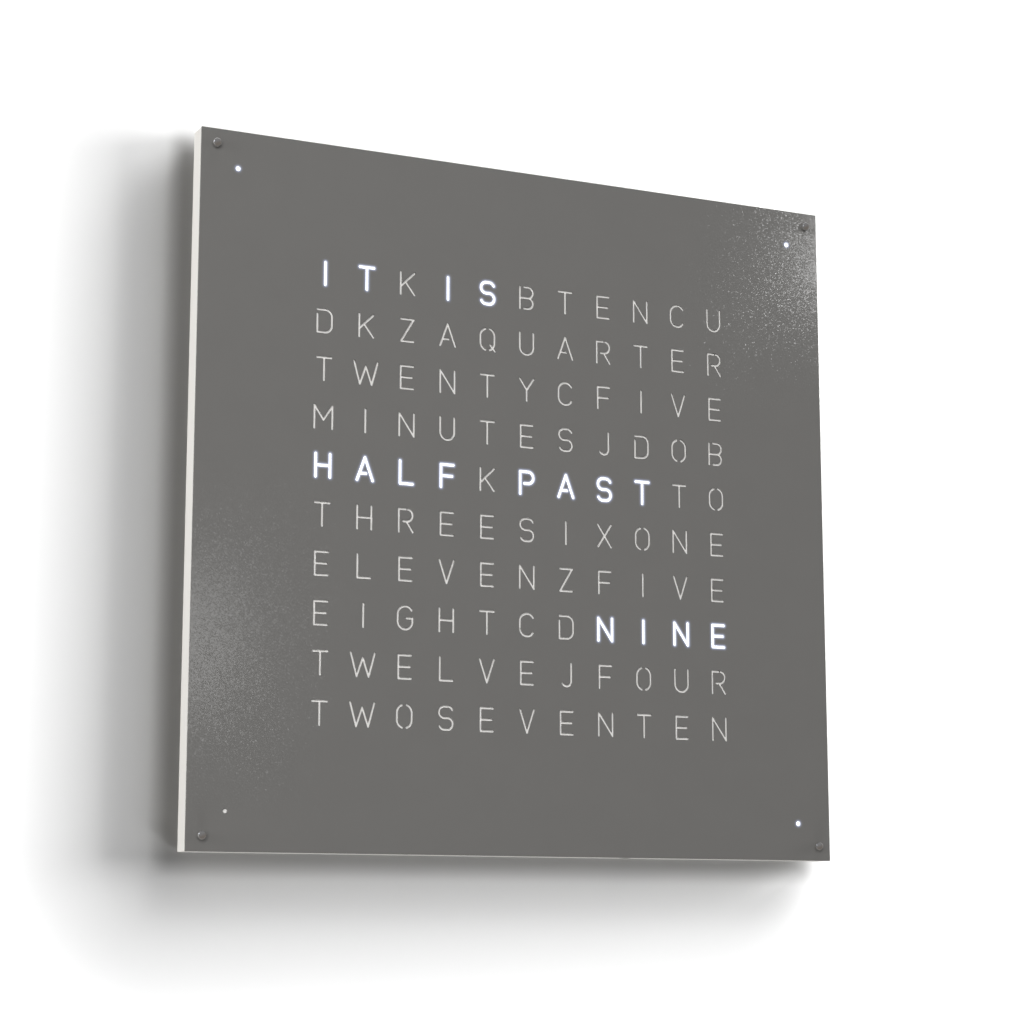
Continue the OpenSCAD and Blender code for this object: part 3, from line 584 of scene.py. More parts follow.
def combined(piece: Piece, tools: Iterable[Piece], operation: str) -> Piece:
    """Joins tools to a piece or takes them from it, and removes the tools.

    Args:
        piece: the object that is worked on.
        tools: closed objects.
        operation: UNION or DIFFERENCE.

    Returns:
        The piece, with its new mesh.
    """
    tools = list(tools)
    for tool in tools:
        step = piece.modifiers.new(tool.name, "BOOLEAN")
        step.operation = operation
        step.solver = "MANIFOLD"
        step.object = tool
    shaped = piece.evaluated_get(bpy.context.evaluated_depsgraph_get())
    mesh = bpy.data.meshes.new_from_object(shaped)
    piece.modifiers.clear()
    old, piece.data = piece.data, mesh
    bpy.data.meshes.remove(old)
    for tool in tools:
        bpy.data.meshes.remove(tool.data)
    return piece


def mesh_of(piece: Piece) -> Mesh:
    """A piece's mesh; the piece is removed."""
    mesh = piece.data.copy()
    bpy.data.meshes.remove(piece.data)
    return mesh


def stamp(bm: Draft, mesh: Mesh, place: Point3) -> None:
    """Adds a copy of a mesh at a place."""
    placed = mesh.copy()
    placed.transform(Matrix.Translation(place))
    bm.from_mesh(placed)
    bpy.data.meshes.remove(placed)


def seat_of(low: Vector, high: Vector) -> Vector:
    """The middle of a box's face on the -Y side."""
    return Vector(((low.x + high.x) / 2, low.y, (low.z + high.z) / 2))


def solids_of(node: str) -> list[tuple[Vector, Vector]]:
    """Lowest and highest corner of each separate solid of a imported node."""
    bm = bmesh.new()
    bm.from_mesh(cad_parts[node].data)
    bmesh.ops.remove_doubles(bm, verts=bm.verts, dist=WELD)
    boxes, seen = [], set()
    for seed in bm.verts:
        if seed in seen:
            continue
        seen.add(seed)
        heap, solid = [seed], []
        while heap:
            vert = heap.pop()
            solid.append(vert.co.copy())
            for edge in vert.link_edges:
                other = edge.other_vert(vert)
                if other not in seen:
                    seen.add(other)
                    heap.append(other)
        boxes.append((Vector(map(min, *solid)), Vector(map(max, *solid))))
    bm.free()
    return boxes


def settle(piece: Piece, body: str, finish: Finish, *nodes: str) -> Piece:
    """Puts a finished piece on its body in place of the nodes that it stands for."""
    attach(piece, body)
    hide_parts(*nodes)
    LOG.info("%s rides on %s, %d faces", piece.name, body, len(piece.data.polygons))
    return piece


# ---------------------------------------------------------------- letters


@dataclass(frozen=True)
class Bar:
    """A straight stroke between two points of a letter, in millimetres from its middle."""

    start: Point
    end: Point

    @property
    def ends(self) -> tuple[Point, Point]:
        """The stroke's two ends."""
        return self.start, self.end

    def shell(self, bm: Draft, width: float, depth: float) -> None:
        """Adds the slot's straight body about the plane Y = 0, in millimetres."""
        run = Vector(self.end) - Vector(self.start)
        middle = (Vector(self.end) + Vector(self.start)) / 2
        half = Vector((run.length, depth, width)) / 2
        verts = block(bm, -half, half)
        turn(bm, verts, -math.degrees(math.atan2(run.y, run.x)), "Y")
        bmesh.ops.translate(bm, vec=(middle.x, 0, middle.y), verts=verts)

    def distance(self, point: Vector) -> float:
        """Distance of a point from the stroke's middle line."""
        start, run = Vector(self.start), Vector(self.end) - Vector(self.start)
        share = max(0.0, min(1.0, (point - start).dot(run) / run.length_squared))
        return (point - start - run * share).length


@dataclass(frozen=True)
class Bend:
    """A round stroke: a centre, a radius, and a sweep from a start angle, anticlockwise, in degrees."""

    centre: Point
    radius: float
    start: float
    sweep: float

    def at(self, degrees: float) -> Point:
        """The point on the stroke's circle at an angle."""
        angle = math.radians(degrees)
        x, z = self.centre
        return x + self.radius * math.cos(angle), z + self.radius * math.sin(angle)

    @property
    def ends(self) -> tuple[Point, Point]:
        """The stroke's two ends."""
        return self.at(self.start), self.at(self.start + self.sweep)

    def shell(self, bm: Draft, width: float, depth: float) -> None:
        """Adds the slot's round body about the plane Y = 0: its cross-section spun about the centre."""
        before = set(bm.verts)
        section = bmesh.ops.create_grid(bm, x_segments=1, y_segments=1, size=0.5)["verts"]
        bmesh.ops.scale(bm, vec=(width, depth, 1), verts=section)
        bmesh.ops.translate(bm, vec=(self.radius, 0, 0), verts=section)
        turn(bm, section, -self.start, "Y")
        geometry = section + list({e for v in section for e in v.link_edges}) + section[0].link_faces[:]
        steps = max(FEWEST_FACETS, round(abs(self.sweep) / DEGREES_PER_FACET))
        bmesh.ops.spin(bm, geom=geometry, cent=(0, 0, 0), axis=(0, 1, 0), dvec=(0, 0, 0),
                       angle=-math.radians(self.sweep), steps=steps, use_duplicate=False)
        made = [vert for vert in bm.verts if vert not in before]
        edges = list({edge for vert in made for edge in vert.link_edges})
        bmesh.ops.holes_fill(bm, edges=[edge for edge in edges if edge.is_boundary], sides=4)
        bmesh.ops.translate(bm, vec=(self.centre[0], 0, self.centre[1]), verts=made)
        bmesh.ops.recalc_face_normals(bm, faces=list({face for vert in made for face in vert.link_faces}))

    def distance(self, point: Vector) -> float:
        """Distance of a point from the stroke's middle line."""
        offset = point - Vector(self.centre)
        turned_by = (math.degrees(math.atan2(offset.y, offset.x)) - self.start) * math.copysign(1, self.sweep)
        if turned_by % 360 <= abs(self.sweep):
            return abs(offset.length - self.radius)
        return min((point - Vector(end)).length for end in self.ends)


Stroke = Bar | Bend
Letter = tuple[Stroke, ...]


def bars(*points: Point) -> Letter:
    """Straight strokes from each point to the next."""
    return tuple(Bar(start, end) for start, end in zip(points, points[1:]))


def stencil_alphabet(half: float, gap: float) -> dict[str, Letter]:
    """The stencil letters, as the middle lines of their slots.

    Closed letters keep a bridge of sheet metal, so that their inner field doesn't fall out.

    Args:
        half: half of the height, from the middle to the outer strokes' middle line, in millimetres.
        gap: length of the middle line that a bridge leaves out, in millimetres.

    Returns:
        Each letter's strokes, about its middle.
    """
    bowl = half / 2
    wide, broad, round_x, narrow, splay = 4.8, 4.9, 5.0, 4.3, 5.3
    left, right = bars((-wide, half), (-wide, -half)), bars((wide, half), (wide, -half))
    shoulder = half - round_x
    bridge = math.degrees(gap / 2 / round_x)
    quarter = 90 - bridge
    side = Bar((-round_x, shoulder), (-round_x, -shoulder))
    ring = (Bend((0, shoulder), round_x, 90 + bridge, quarter), Bend((0, -shoulder), round_x, 180, quarter),
            Bend((0, shoulder), round_x, 0, quarter), Bend((0, -shoulder), round_x, 0, -quarter),
            side, Bar((round_x, shoulder), (round_x, -shoulder)))
    mouth = 30
    hook = (Bend((0, shoulder), round_x, mouth, 180 - mouth), side)
    eye_r = 3.9
    eye_x = wide - eye_r - 0.2
    eye_z = half - 2 * eye_r
    eye = left + (Bar((-wide, half), (eye_x, half)), Bend((eye_x, half - eye_r), eye_r, 90, -180),
                  Bar((eye_x, eye_z), (gap - wide, eye_z)))
    corner = 4.6
    corner_x, corner_z = broad - corner, half - corner
    foot_r = 3.4
    foot = half - foot_r
    bar_z = -2.9
    bar_x = splay * (half - bar_z) / (2 * half)
    bowl_x, waist = 0.9, 1.05
    return {
        "A": bars((-splay, -half), (0, half), (splay, -half)) + bars((-bar_x, bar_z), (bar_x - gap, bar_z)),
        "B": left + (Bar((gap - wide, half), (bowl_x, half)),
                     Bend((bowl_x, bowl), bowl, 90, -180), Bar((-wide, 0), (bowl_x, 0)),
                     Bend((bowl_x, -bowl), bowl, 90, -180), Bar((bowl_x, -half), (gap - wide, -half))),
        "C": hook + (Bend((0, -shoulder), round_x, 180, 180 - mouth),),
        "D": (Bar((-broad, half - gap), (-broad, -half)), Bar((-broad, -half), (corner_x, -half)),
              Bend((corner_x, -corner_z), corner, -90, 90), Bar((broad, -corner_z), (broad, corner_z)),
              Bend((corner_x, corner_z), corner, 0, 90), Bar((corner_x, half), (-broad, half))),
        "E": bars((narrow, half), (-narrow, half), (-narrow, -half), (narrow, -half))
             + bars((-narrow, 0), (narrow - 0.9, 0)),
        "F": bars((narrow, half), (-narrow, half), (-narrow, -half)) + bars((-narrow, 0), (narrow - 0.9, 0)),
        "G": hook + (Bend((0, -shoulder), round_x, 180, 180),)
             + bars((round_x, -shoulder), (round_x, -0.2), (1, -0.2)),
        "H": left + right + bars((-wide, 0), (wide, 0)),
        "I": bars((0, half), (0, -half)),
        "J": (Bar((foot_r, half), (foot_r, -foot)), Bend((0, -foot), foot_r, 0, -150)),
        "K": left + bars((-wide, -2.0), (wide, half)) + bars((-1.6, 1.1), (wide, -half)),
        "L": bars((-narrow, half), (-narrow, -half), (narrow, -half)),
        "M": bars((-6, -half), (-6, half), (0, -1.8), (6, half), (6, -half)),
        "N": bars((-5, -half), (-5, half), (5, -half), (5, half)),
        "O": ring,
        "P": eye,
        "Q": ring + bars((1.9, -3.6), (5.4, -half - 0.4)),
        "R": eye + bars((0.4, eye_z), (wide, -half)),
        "S": (Bend((waist, bowl), bowl, 25, 65), Bar((waist, half), (-waist, half)),
              Bend((-waist, bowl), bowl, 90, 180), Bar((-waist, 0), (waist, 0)),
              Bend((waist, -bowl), bowl, 90, -180), Bar((waist, -half), (-waist, -half)),
              Bend((-waist, -bowl), bowl, -90, -65)),
        "T": bars((-wide, half), (wide, half)) + bars((0, half), (0, -half)),
        "U": (Bar((-broad, half), (-broad, broad - half)), Bend((0, broad - half), broad, 180, 180),
              Bar((broad, broad - half), (broad, half))),
        "V": bars((-broad, half), (0, -half), (broad, half)),
        "W": bars((-8, half), (-4, -half), (0, 0.6 * half), (4, -half), (8, half)),
        "X": bars((-wide, half), (wide, -half)) + bars((wide, half), (-wide, -half)),
        "Y": bars((-broad, half), (0, 0), (broad, half)) + bars((0, 0), (0, -half)),
        "Z": bars((-narrow, half), (narrow, half), (-narrow, -half), (narrow, -half)),
    }


@dataclass
class LetterField:
    """The words on the face: which letters there are, where they stand and which are lit.

    Attributes:
        rows: the letters, row by row from the top.
        lit: for each row that has lit letters, the first and the last column of each lit word.
        half_height: half of a letter's height between its outer strokes' middle lines, in millimetres.
        slot_width: width of a letter's slots, in millimetres.
        bridge: length of middle line that a stencil bridge leaves out, in millimetres.
        end_facets: facets round a stroke's end.
        led_side: width of a letter's lamp package, in metres.
        light_from: node of the lamps that the letters stand in front of.
    """

    rows: tuple[str, ...] = ("ITKISBTENCU", "DKZAQUARTER", "TWENTYCFIVE", "MINUTESJDOB", "HALFKPASTTO",
                             "THREESIXONE", "ELEVENZFIVE", "EIGHTCDNINE", "TWELVEJFOUR", "TWOSEVENTEN")
    lit: dict[int, tuple[tuple[int, int], ...]] = field(
        default_factory=lambda: {0: ((0, 1), (3, 4)), 4: ((0, 3), (5, 8)), 7: ((7, 10),)})
    half_height: float = 7.3
    slot_width: float = 1.45
    bridge: float = 3.0
    end_facets: int = 20
    led_side: float = 0.005
    light_from: str = "letter_leds"

    def __post_init__(self) -> None:
        """Takes the letters' places from the lamps behind them."""
        low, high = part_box(self.light_from)
        self.first = Vector((low.x + self.led_side / 2, high.z - self.led_side / 2))
        self.pitch = Vector(((high.x - low.x - self.led_side) / (len(self.rows[0]) - 1),
                             (high.z - low.z - self.led_side) / (len(self.rows) - 1)))
        self.alphabet = stencil_alphabet(self.half_height, self.bridge)

    def centre(self, row: int, column: int) -> Vector:
        """The middle of a letter's place, as X and Z in metres."""
        return Vector((self.first.x + column * self.pitch.x, self.first.y - row * self.pitch.y))

    def lit_letters(self) -> list[tuple[int, int]]:
        """Row and column of each lit letter."""
        return [(row, column) for row, words in self.lit.items() for first, last in words
                for column in range(first, last + 1)]

    def tool(self, letter: str, depth: float) -> Mesh:
        """A letter's slots as one closed mesh about its middle.

        Args:
            letter: which letter.
            depth: how far the mesh reaches along Y, in metres.

        Returns:
            The mesh, in metres.
        """
        deep = depth / MM
        strokes = self.alphabet[letter]
        shells = []
        for stroke in strokes:
            bm = bmesh.new()
            stroke.shell(bm, self.slot_width, deep)
            shells.append(piece_of(bm, "slot_part"))
        # Ends that meet in a corner are rounded off together.
        for x, z in sorted({(round(x, 4), round(z, 4)) for stroke in strokes for x, z in stroke.ends}):
            bm = bmesh.new()
            peg(bm, Vector((x, 0, z)), self.slot_width, deep, self.end_facets)
            shells.append(piece_of(bm, "slot_part"))
        mesh = mesh_of(combined(shells[0], shells[1:], "UNION"))
        mesh.transform(Matrix.Scale(MM, 4))
        return mesh

    def cutter(self, y: float, depth: float) -> Piece:
        """All the letters' slots as one tool about a plane of constant Y."""
        tools = {letter: self.tool(letter, depth) for letter in sorted(set("".join(self.rows)))}
        bm = bmesh.new()
        for row, letters in enumerate(self.rows):
            for column, letter in enumerate(letters):
                spot = self.centre(row, column)
                stamp(bm, tools[letter], (spot.x, y, spot.y))
        for mesh in tools.values():
            bpy.data.meshes.remove(mesh)
        return piece_of(bm, "letter_slots")

    def clearance(self, row: int, column: int, x: float, z: float) -> float:
        """Distance in millimetres from a point to the edge of a letter's slots, below 0 inside them."""
        point = (Vector((x, z)) - self.centre(row, column)) / MM
        strokes = self.alphabet[self.rows[row][column]]
        return min(stroke.distance(point) for stroke in strokes) - self.slot_width / 2


# ---------------------------------------------------------------- front of the clock


def split_fields(bm: Draft, fields: list[tuple[Vector, Vector]], y: float, cuts: int) -> None:
    """Gives the front face of a slab a fine even mesh inside some rectangles.

    Args:
        bm: the slab.
        fields: lowest and highest X, Z corner of each rectangle, which don't touch.
        y: where the front face is.
        cuts: how often each rectangle's sides are cut.
    """
    for axis, normal in enumerate((Vector((1, 0, 0)), Vector((0, 0, 1)))):
        # Sides that lie in one line are cut once.
        for line in sorted({round(corner[axis], 7) for pair in fields for corner in pair}):
            bmesh.ops.bisect_plane(bm, geom=bm.verts[:] + bm.edges[:] + bm.faces[:], plane_co=normal * line,
                                   plane_no=normal)
    inner = []
    for face in bm.faces:
        middle = face.calc_center_median()
        if abs(middle.y - y) < NEAR and any(
                low.x < middle.x < high.x and low.y < middle.z < high.y for low, high in fields):
            inner.append(face)
    edges = list({edge for face in inner for edge in face.edges})
    bmesh.ops.subdivide_edges(bm, edges=edges, cuts=cuts, use_grid_fill=True)


def paint(piece: Piece, value: Callable[[Vector], float]) -> None:
    """Stores a value for each vertex, which the finish reads as its glow: a painted halo on the cover, lamp
    light on the opal.
    """
    layer = piece.data.attributes.new(GLOW, "FLOAT", "POINT")
    for vert, store in zip(piece.data.vertices, layer.data):
        store.value = value(vert.co)


@dataclass
class FrontCover:
    """The thin steel cover with the words cut through it.

    Attributes:
        corner_radius: radius of the upright corners.
        corner_steps: facets round such a corner.
        edge_break: how far the front rim's edges are rounded.
        edge_steps: facets across that rounding.
        ball_hole: diameter of the holes that the balls seat in.
        lamp_hole: diameter of the holes in front of the minute lights.
        hole_facets: facets round a light's hole and round a ball's.
        tool_depth: depth of the tools that cut through the sheet, in thicknesses of it.
        field: width and height round a lit letter in which its painted halo is drawn.
        field_cuts: cuts along a side of that field.
        lamp_field: half of the field round a minute light, in diameters of its hole.
        smooth_below: edges that turn by less than this, in degrees, are shaded smooth.
        painted_halo_spread: distance over which the painted halo fades to a third, in millimetres.
        faintest: share below which the painted halo counts as gone.
    """

    corner_radius: float = 0.5 * MM
    corner_steps: int = 6
    edge_break: float = 0.15 * MM
    edge_steps: int = 2
    ball_hole: float = 5.2 * MM
    lamp_hole: float = 2.8 * MM
    hole_facets: tuple[int, int] = (40, 48)
    tool_depth: float = 3
    field: Point = (18 * MM, 21 * MM)
    field_cuts: int = 35
    lamp_field: float = 1.6
    smooth_below: float = 15
    painted_halo_spread: float = 0.48
    faintest: float = 0.02

    def lamp_spots(self) -> list[Vector]:
        """Middle of each minute light, as X and Z."""
        return [(low + high).xz / 2 for low, high in solids_of("minute_light_discs")]

    def lit_spots(self) -> list[Vector]:
        """The minute lights that are on: all but the lower left one."""
        return sorted(self.lamp_spots(), key=sum)[1:]

    def build(self, letters: LetterField) -> Piece:
        """Makes the cover with its letters, ball holes and light holes."""
        low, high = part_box("front_cover")
        middle, depth = (low.y + high.y) / 2, self.tool_depth * (high.y - low.y)
        lit = [letters.centre(row, column) for row, column in letters.lit_letters()]
        half, reach = Vector(self.field) / 2, Vector((1, 1)) * self.lamp_field * self.lamp_hole
        fields = [(spot - half, spot + half) for spot in lit]
        fields += [(spot - reach, spot + reach) for spot in self.lit_spots()]
        cover = piece_of(self.sheet(low, high, fields), "stencil_cover", COVER_COAT)
        combined(cover, [letters.cutter(middle, depth), self.round_holes(middle, depth)], "DIFFERENCE")
        cover.data.materials.clear()
        cover.data.materials.append(COVER_COAT.material())
        cover.data.shade_smooth()
        cover.data.set_sharp_from_angle(angle=math.radians(self.smooth_below))
        # Paints a halo of light round the lit slots and minute lights on the cover's front.
        self.paint_halo(cover, letters, fields, low.y)
        return settle(cover, "cover", COVER_COAT, "front_cover")

    def sheet(self, low: Vector, high: Vector, fields: list[tuple[Vector, Vector]]) -> Draft:
        """The uncut sheet between two corners, finely meshed in the fields that glow."""
        bm = bmesh.new()
        block(bm, low, high)
        round_corners(bm, self.corner_radius, self.corner_steps)
        rim = [edge for edge in bm.edges if all(abs(vert.co.y - low.y) < NEAR for vert in edge.verts)]
        rounded(bm, rim, self.edge_break, self.edge_steps)
        split_fields(bm, fields, low.y, self.field_cuts)
        return bm

    def round_holes(self, y: float, depth: float) -> Piece:
        """The light holes and the ball holes as one tool about a plane of constant Y."""
        bm = bmesh.new()
        balls = [(sum(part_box(name), Vector()) / 2).xz for name in BALLS]
        for spots, diameter, facets in zip((self.lamp_spots(), balls), (self.lamp_hole, self.ball_hole),
                                           self.hole_facets):
            for x, z in spots:
                peg(bm, Vector((x, y, z)), diameter, depth, facets)
        return piece_of(bm, "round_holes")

    def paint_halo(self, cover: Piece, letters: LetterField, fields: list[tuple[Vector, Vector]],
                 front: float) -> None:
        """Stores the painted halo of light round the edges of the lit slots and minute lights on the cover's
        front.
        """
        lit = letters.lit_letters()
        spots = self.lit_spots()

        def glow(point: Vector) -> float:
            """The painted halo at a point of the cover."""
            if point.y > front + NEAR:
                return 0.0
            for (row, column), (low, high) in zip(lit, fields):
                if low.x <= point.x <= high.x and low.y <= point.z <= high.y:
                    return self.fade(letters.clearance(row, column, point.x, point.z))
            away = min((point.xz - spot).length for spot in spots)
            return self.fade((away - self.lamp_hole / 2) / MM)

        paint(cover, glow)

    def fade(self, clearance: float) -> float:
        """Strength of the painted halo at a clearance from a lit slot, in millimetres."""
        share = math.exp(-max(0.0, clearance) / self.painted_halo_spread)
        return share if share > self.faintest else 0.0


@dataclass
class OpalDiffuser:
    """The opal sheet behind the cover, lit by a cup of light at each lit letter.

    Attributes:
        corner_radius: radius of the sheet's corners.
        corner_steps: facets round a corner.
        cup_mouth: diameter of a cup where it meets the sheet.
        core: diameter that is fully lit.
        cuts: cuts along a side of a lit letter's place.
    """

    corner_radius: float = 2 * MM
    corner_steps: int = 6
    cup_mouth: float = 24.4 * MM
    core: float = 19 * MM
    cuts: int = 23

    def build(self, letters: LetterField) -> Piece:
        """Makes the sheet and stores how brightly each point of it is lit."""
        low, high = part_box("diffuser_sheet")
        bm = bmesh.new()
        block(bm, low, high)
        round_corners(bm, self.corner_radius, self.corner_steps)
        lit = [letters.centre(row, column) for row, column in letters.lit_letters()]
        half = Vector((self.cup_mouth, self.cup_mouth)) / 2
        split_fields(bm, [(spot - half, spot + half) for spot in lit], low.y, self.cuts)
        sheet = piece_of(bm, "opal_diffuser", OPAL)

        def glow(point: Vector) -> float:
            """Light that comes through at a point of the sheet's front."""
            away = min((point.xz - spot).length for spot in lit)
            if point.y > low.y + NEAR or away >= self.cup_mouth / 2:
                return 0.0
            return min(1.0, (self.cup_mouth - 2 * away) / (self.cup_mouth - self.core))

        paint(sheet, glow)
        return settle(sheet, "clock", OPAL, "diffuser_sheet")


@dataclass
class MinuteDiscs:
    """The four opal discs behind the corner lights.

    Attributes:
        edge_break: how far their edges are broken.
        segments: facets round a disc.
    """

    edge_break: float = 0.1 * MM
    segments: int = 48

    def build(self, cover: FrontCover) -> Piece:
        """Makes the discs, all lit but the one of a minute that hasn't passed."""
        bm = bmesh.new()
        for low, high in solids_of("minute_light_discs"):
            peg(bm, (low + high) / 2, high.x - low.x, high.y - low.y, self.segments)
        rounded(bm, [edge for edge in bm.edges if reach_of(edge) < NEAR], self.edge_break)
        discs = piece_of(bm, "minute_discs", OPAL)
        lit, width = cover.lit_spots(), high.x - low.x

        def glow(point: Vector) -> float:
            """1 on a disc that is lit."""
            return float(min((point.xz - spot).length for spot in lit) < width)

        paint(discs, glow)
        return settle(discs, "clock", OPAL, "minute_light_discs")


def build_balls(rings: int = 32) -> list[Piece]:
    """Replaces each ball magnet by a smooth polished ball of its size."""
    balls = []
    for name in BALLS:
        low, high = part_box(name)
        bm = bmesh.new()
        bmesh.ops.create_uvsphere(bm, u_segments=2 * rings, v_segments=rings, radius=(high.y - low.y) / 2)
        bmesh.ops.translate(bm, vec=(low + high) / 2, verts=bm.verts)
        balls.append(settle(piece_of(bm, "polished_" + name, CHROME), name, CHROME, name))
    return balls


# ---------------------------------------------------------------- fasteners and feet


@dataclass
class CrossScrew:
    """A pan-head screw with a cross recess and a cut thread, its head at the +Y end.

    Attributes:
        shank: diameter over the thread.
        root: diameter under the thread.
        head_height: height of the head.
        thread_pitch: distance between thread crests.
        recess_width: width of a recess arm.
        recess_span: length across the recess.
        recess_depth: depth of the recess.
        recess_taper: width of the recess's floor, as a share of its mouth.
        tip: length of the tip before the thread.
        tip_width: width of the tip's end, as a share of the root.
        crest: where a crest and the next root lie, as shares of the pitch.
        dome: height of the head's crown.
        brim: rounding of the head's lower rim.
        side: height at which the head's side ends, as a share of the head below its crown.
        crown: the crown's outline, as shares of the head's radius and of the dome's height below its top.
        segments: facets round the screw.
        smooth_below: edges that turn by less than this, in degrees, are shaded smooth.
    """

    shank: float = 2.5 * MM
    root: float = 2.0 * MM
    head_height: float = 1.5 * MM
    thread_pitch: float = 0.6 * MM
    recess_width: float = 0.62 * MM
    recess_span: float = 2.7 * MM
    recess_depth: float = 0.95 * MM
    recess_taper: float = 0.7
    tip: float = 0.3 * MM
    tip_width: float = 0.7
    crest: Point = (0.45, 0.9)
    dome: float = 0.35 * MM
    brim: float = 0.15 * MM
    side: float = 0.6
    crown: tuple[Point, ...] = ((0.93, 1.0), (0.72, 0.4), (0.4, 0.08), (0.0, 0.0))
    segments: int = 24
    smooth_below: float = 40

    def profile(self, length: float, head: float) -> list[Point]:
        """The screw's outline from its tip at Y = 0 to its crown.

        Args:
            length: length over everything.
            head: diameter of the head.

        Returns:
            Points as radius and distance from the tip.
        """
        neck = length - self.head_height
        points = [(0.0, 0.0), (self.root / 2 * self.tip_width, 0.0), (self.root / 2, self.tip)]
        for number in range(int((neck - 2 * self.tip) / self.thread_pitch)):
            start = self.tip + number * self.thread_pitch
            points += [(radius, start + self.thread_pitch * share)
                       for radius, share in zip((self.shank / 2, self.root / 2), self.crest)]
        points += [(self.root / 2, neck), (head / 2 - self.brim, neck), (head / 2, neck + self.brim),
                   (head / 2, neck + self.side * (self.head_height - self.dome))]
        return points + [(head / 2 * out, length - self.dome * below) for out, below in self.crown]

    def master(self, length: float, head: float) -> Mesh:
        """One screw with its tip at the origin, along +Y."""
        bm = bmesh.new()
        turned(bm, self.profile(length, head), self.segments)
        screw = piece_of(bm, "screw_blank")
        arms = []
        for span, width in ((self.recess_span, self.recess_width), (self.recess_width, self.recess_span)):
            arm = bmesh.new()
            half = Vector((span / 2, 0, width / 2))
            top = Vector((0, length + self.dome, 0))
            verts = block(arm, Vector((0, length - self.recess_depth, 0)) - half, top + half)
            floor = [vert for vert in verts if vert.co.y < length - self.recess_depth / 2]
            bmesh.ops.scale(arm, vec=(self.recess_taper, 1, self.recess_taper), verts=floor)
            arms.append(piece_of(arm, "recess_arm"))
        return mesh_of(combined(screw, arms, "DIFFERENCE"))

    def build(self, node: str) -> Piece:
        """Makes a node's screws where the node has them."""
        boxes = solids_of(node)
        low, high = boxes[0]
        master = self.master(high.y - low.y, high.x - low.x)
        bm = bmesh.new()
        for low, high in boxes:
            stamp(bm, master, seat_of(low, high))
        bpy.data.meshes.remove(master)
        screws = piece_of(bm, "cross_recess_" + node, SCREW, self.smooth_below)
        return settle(screws, "clock", SCREW, node)


@dataclass
class Bumper:
    """A rubber foot that keeps the clock's lower edge off the wall.

    Attributes:
        round_over: radius of its outer rim on the wall side.
        rim_steps: facets across that rim.
        dish: depth of the hollow in its wall face.
        dish_width: radius of the hollow, as a share of the foot's.
        lip: the hollow's edge, as distances beyond its radius and shares of its depth.
        segments: facets round it.
    """

    round_over: float = 1.1 * MM
    rim_steps: int = 5
    dish: float = 0.4 * MM
    dish_width: float = 0.55
    lip: tuple[Point, ...] = ((0.3 * MM, 0.0), (0.0, 0.3), (-0.6 * MM, 1.0))
    segments: int = 64

    def build(self) -> Piece:
        """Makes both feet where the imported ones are."""
        bm = bmesh.new()
        for low, high in solids_of("wall_bumpers"):
            radius, height = (high.x - low.x) / 2, high.y - low.y
            angles = [math.radians(90 * step / self.rim_steps) for step in range(self.rim_steps + 1)]
            rim = [(radius - self.round_over * (1 - math.cos(angle)),
                    height - self.round_over * (1 - math.sin(angle))) for angle in angles]
            lip = [(radius * self.dish_width + out, height - self.dish * down) for out, down in self.lip]
            verts = turned(bm, [(0.0, 0.0), (radius, 0.0), *rim, *lip, (0.0, height - self.dish)],
                           self.segments)
            bmesh.ops.translate(bm, vec=seat_of(low, high), verts=verts)
        feet = piece_of(bm, "rubber_feet", RUBBER)
        return settle(feet, "clock", RUBBER, "wall_bumpers")


# ---------------------------------------------------------------- studio


class Reach(Enum):
    """What a lamp lights."""

    WALL = "the wall alone"
    CLOCK = "all but the wall"
    COVER = "the front cover alone"
    BALLS = "the ball magnets alone"


@dataclass(frozen=True)
class Lamp:
    """A softbox that points at the middle of the face.

    Attributes:
        name: the lamp's name.
        toward: direction from the face to the lamp.
        distance: distance from the face.
        width: width of the softbox.
        height: height of the softbox.
        level: how much of the plain level it gives a surface that faces `facing`.
        facing: normal of that surface.
        reach: what it lights.
        mirrored: whether polished surfaces show it.
        colour: its colour.
    """

    name: str
    toward: Point3
    distance: float
    width: float
    height: float
    level: float
    facing: Point3 = (0, -1, 0)
    reach: Reach = Reach.CLOCK
    mirrored: bool = True
    colour: Rgb = (1.0, 1.0, 1.0)

    def build(self, target: Vector, receivers: dict[Reach, bpy.types.Collection]) -> None:
        """Hangs the lamp, with the power that gives its level."""
        direction = Vector(self.toward).normalized()
        light = bpy.data.lights.new(self.name, "AREA")
        light.shape = "RECTANGLE"
        light.size, light.size_y = self.width, self.height
        light.color = self.colour
        # A white surface reflects the power times the cosine over the square of pi times the distance.
        light.energy = self.level * math.pi**2 * self.distance**2 / direction.dot(Vector(self.facing))
        lamp = bpy.data.objects.new(self.name, light)
        lamp.location = target + direction * self.distance
        lamp.rotation_mode = "QUATERNION"
        lamp.rotation_quaternion = (-direction).to_track_quat("-Z", "Y")
        lamp.visible_camera = False
        lamp.visible_glossy = self.mirrored
        lamp.light_linking.receiver_collection = receivers[self.reach]
        bpy.context.scene.collection.objects.link(lamp)


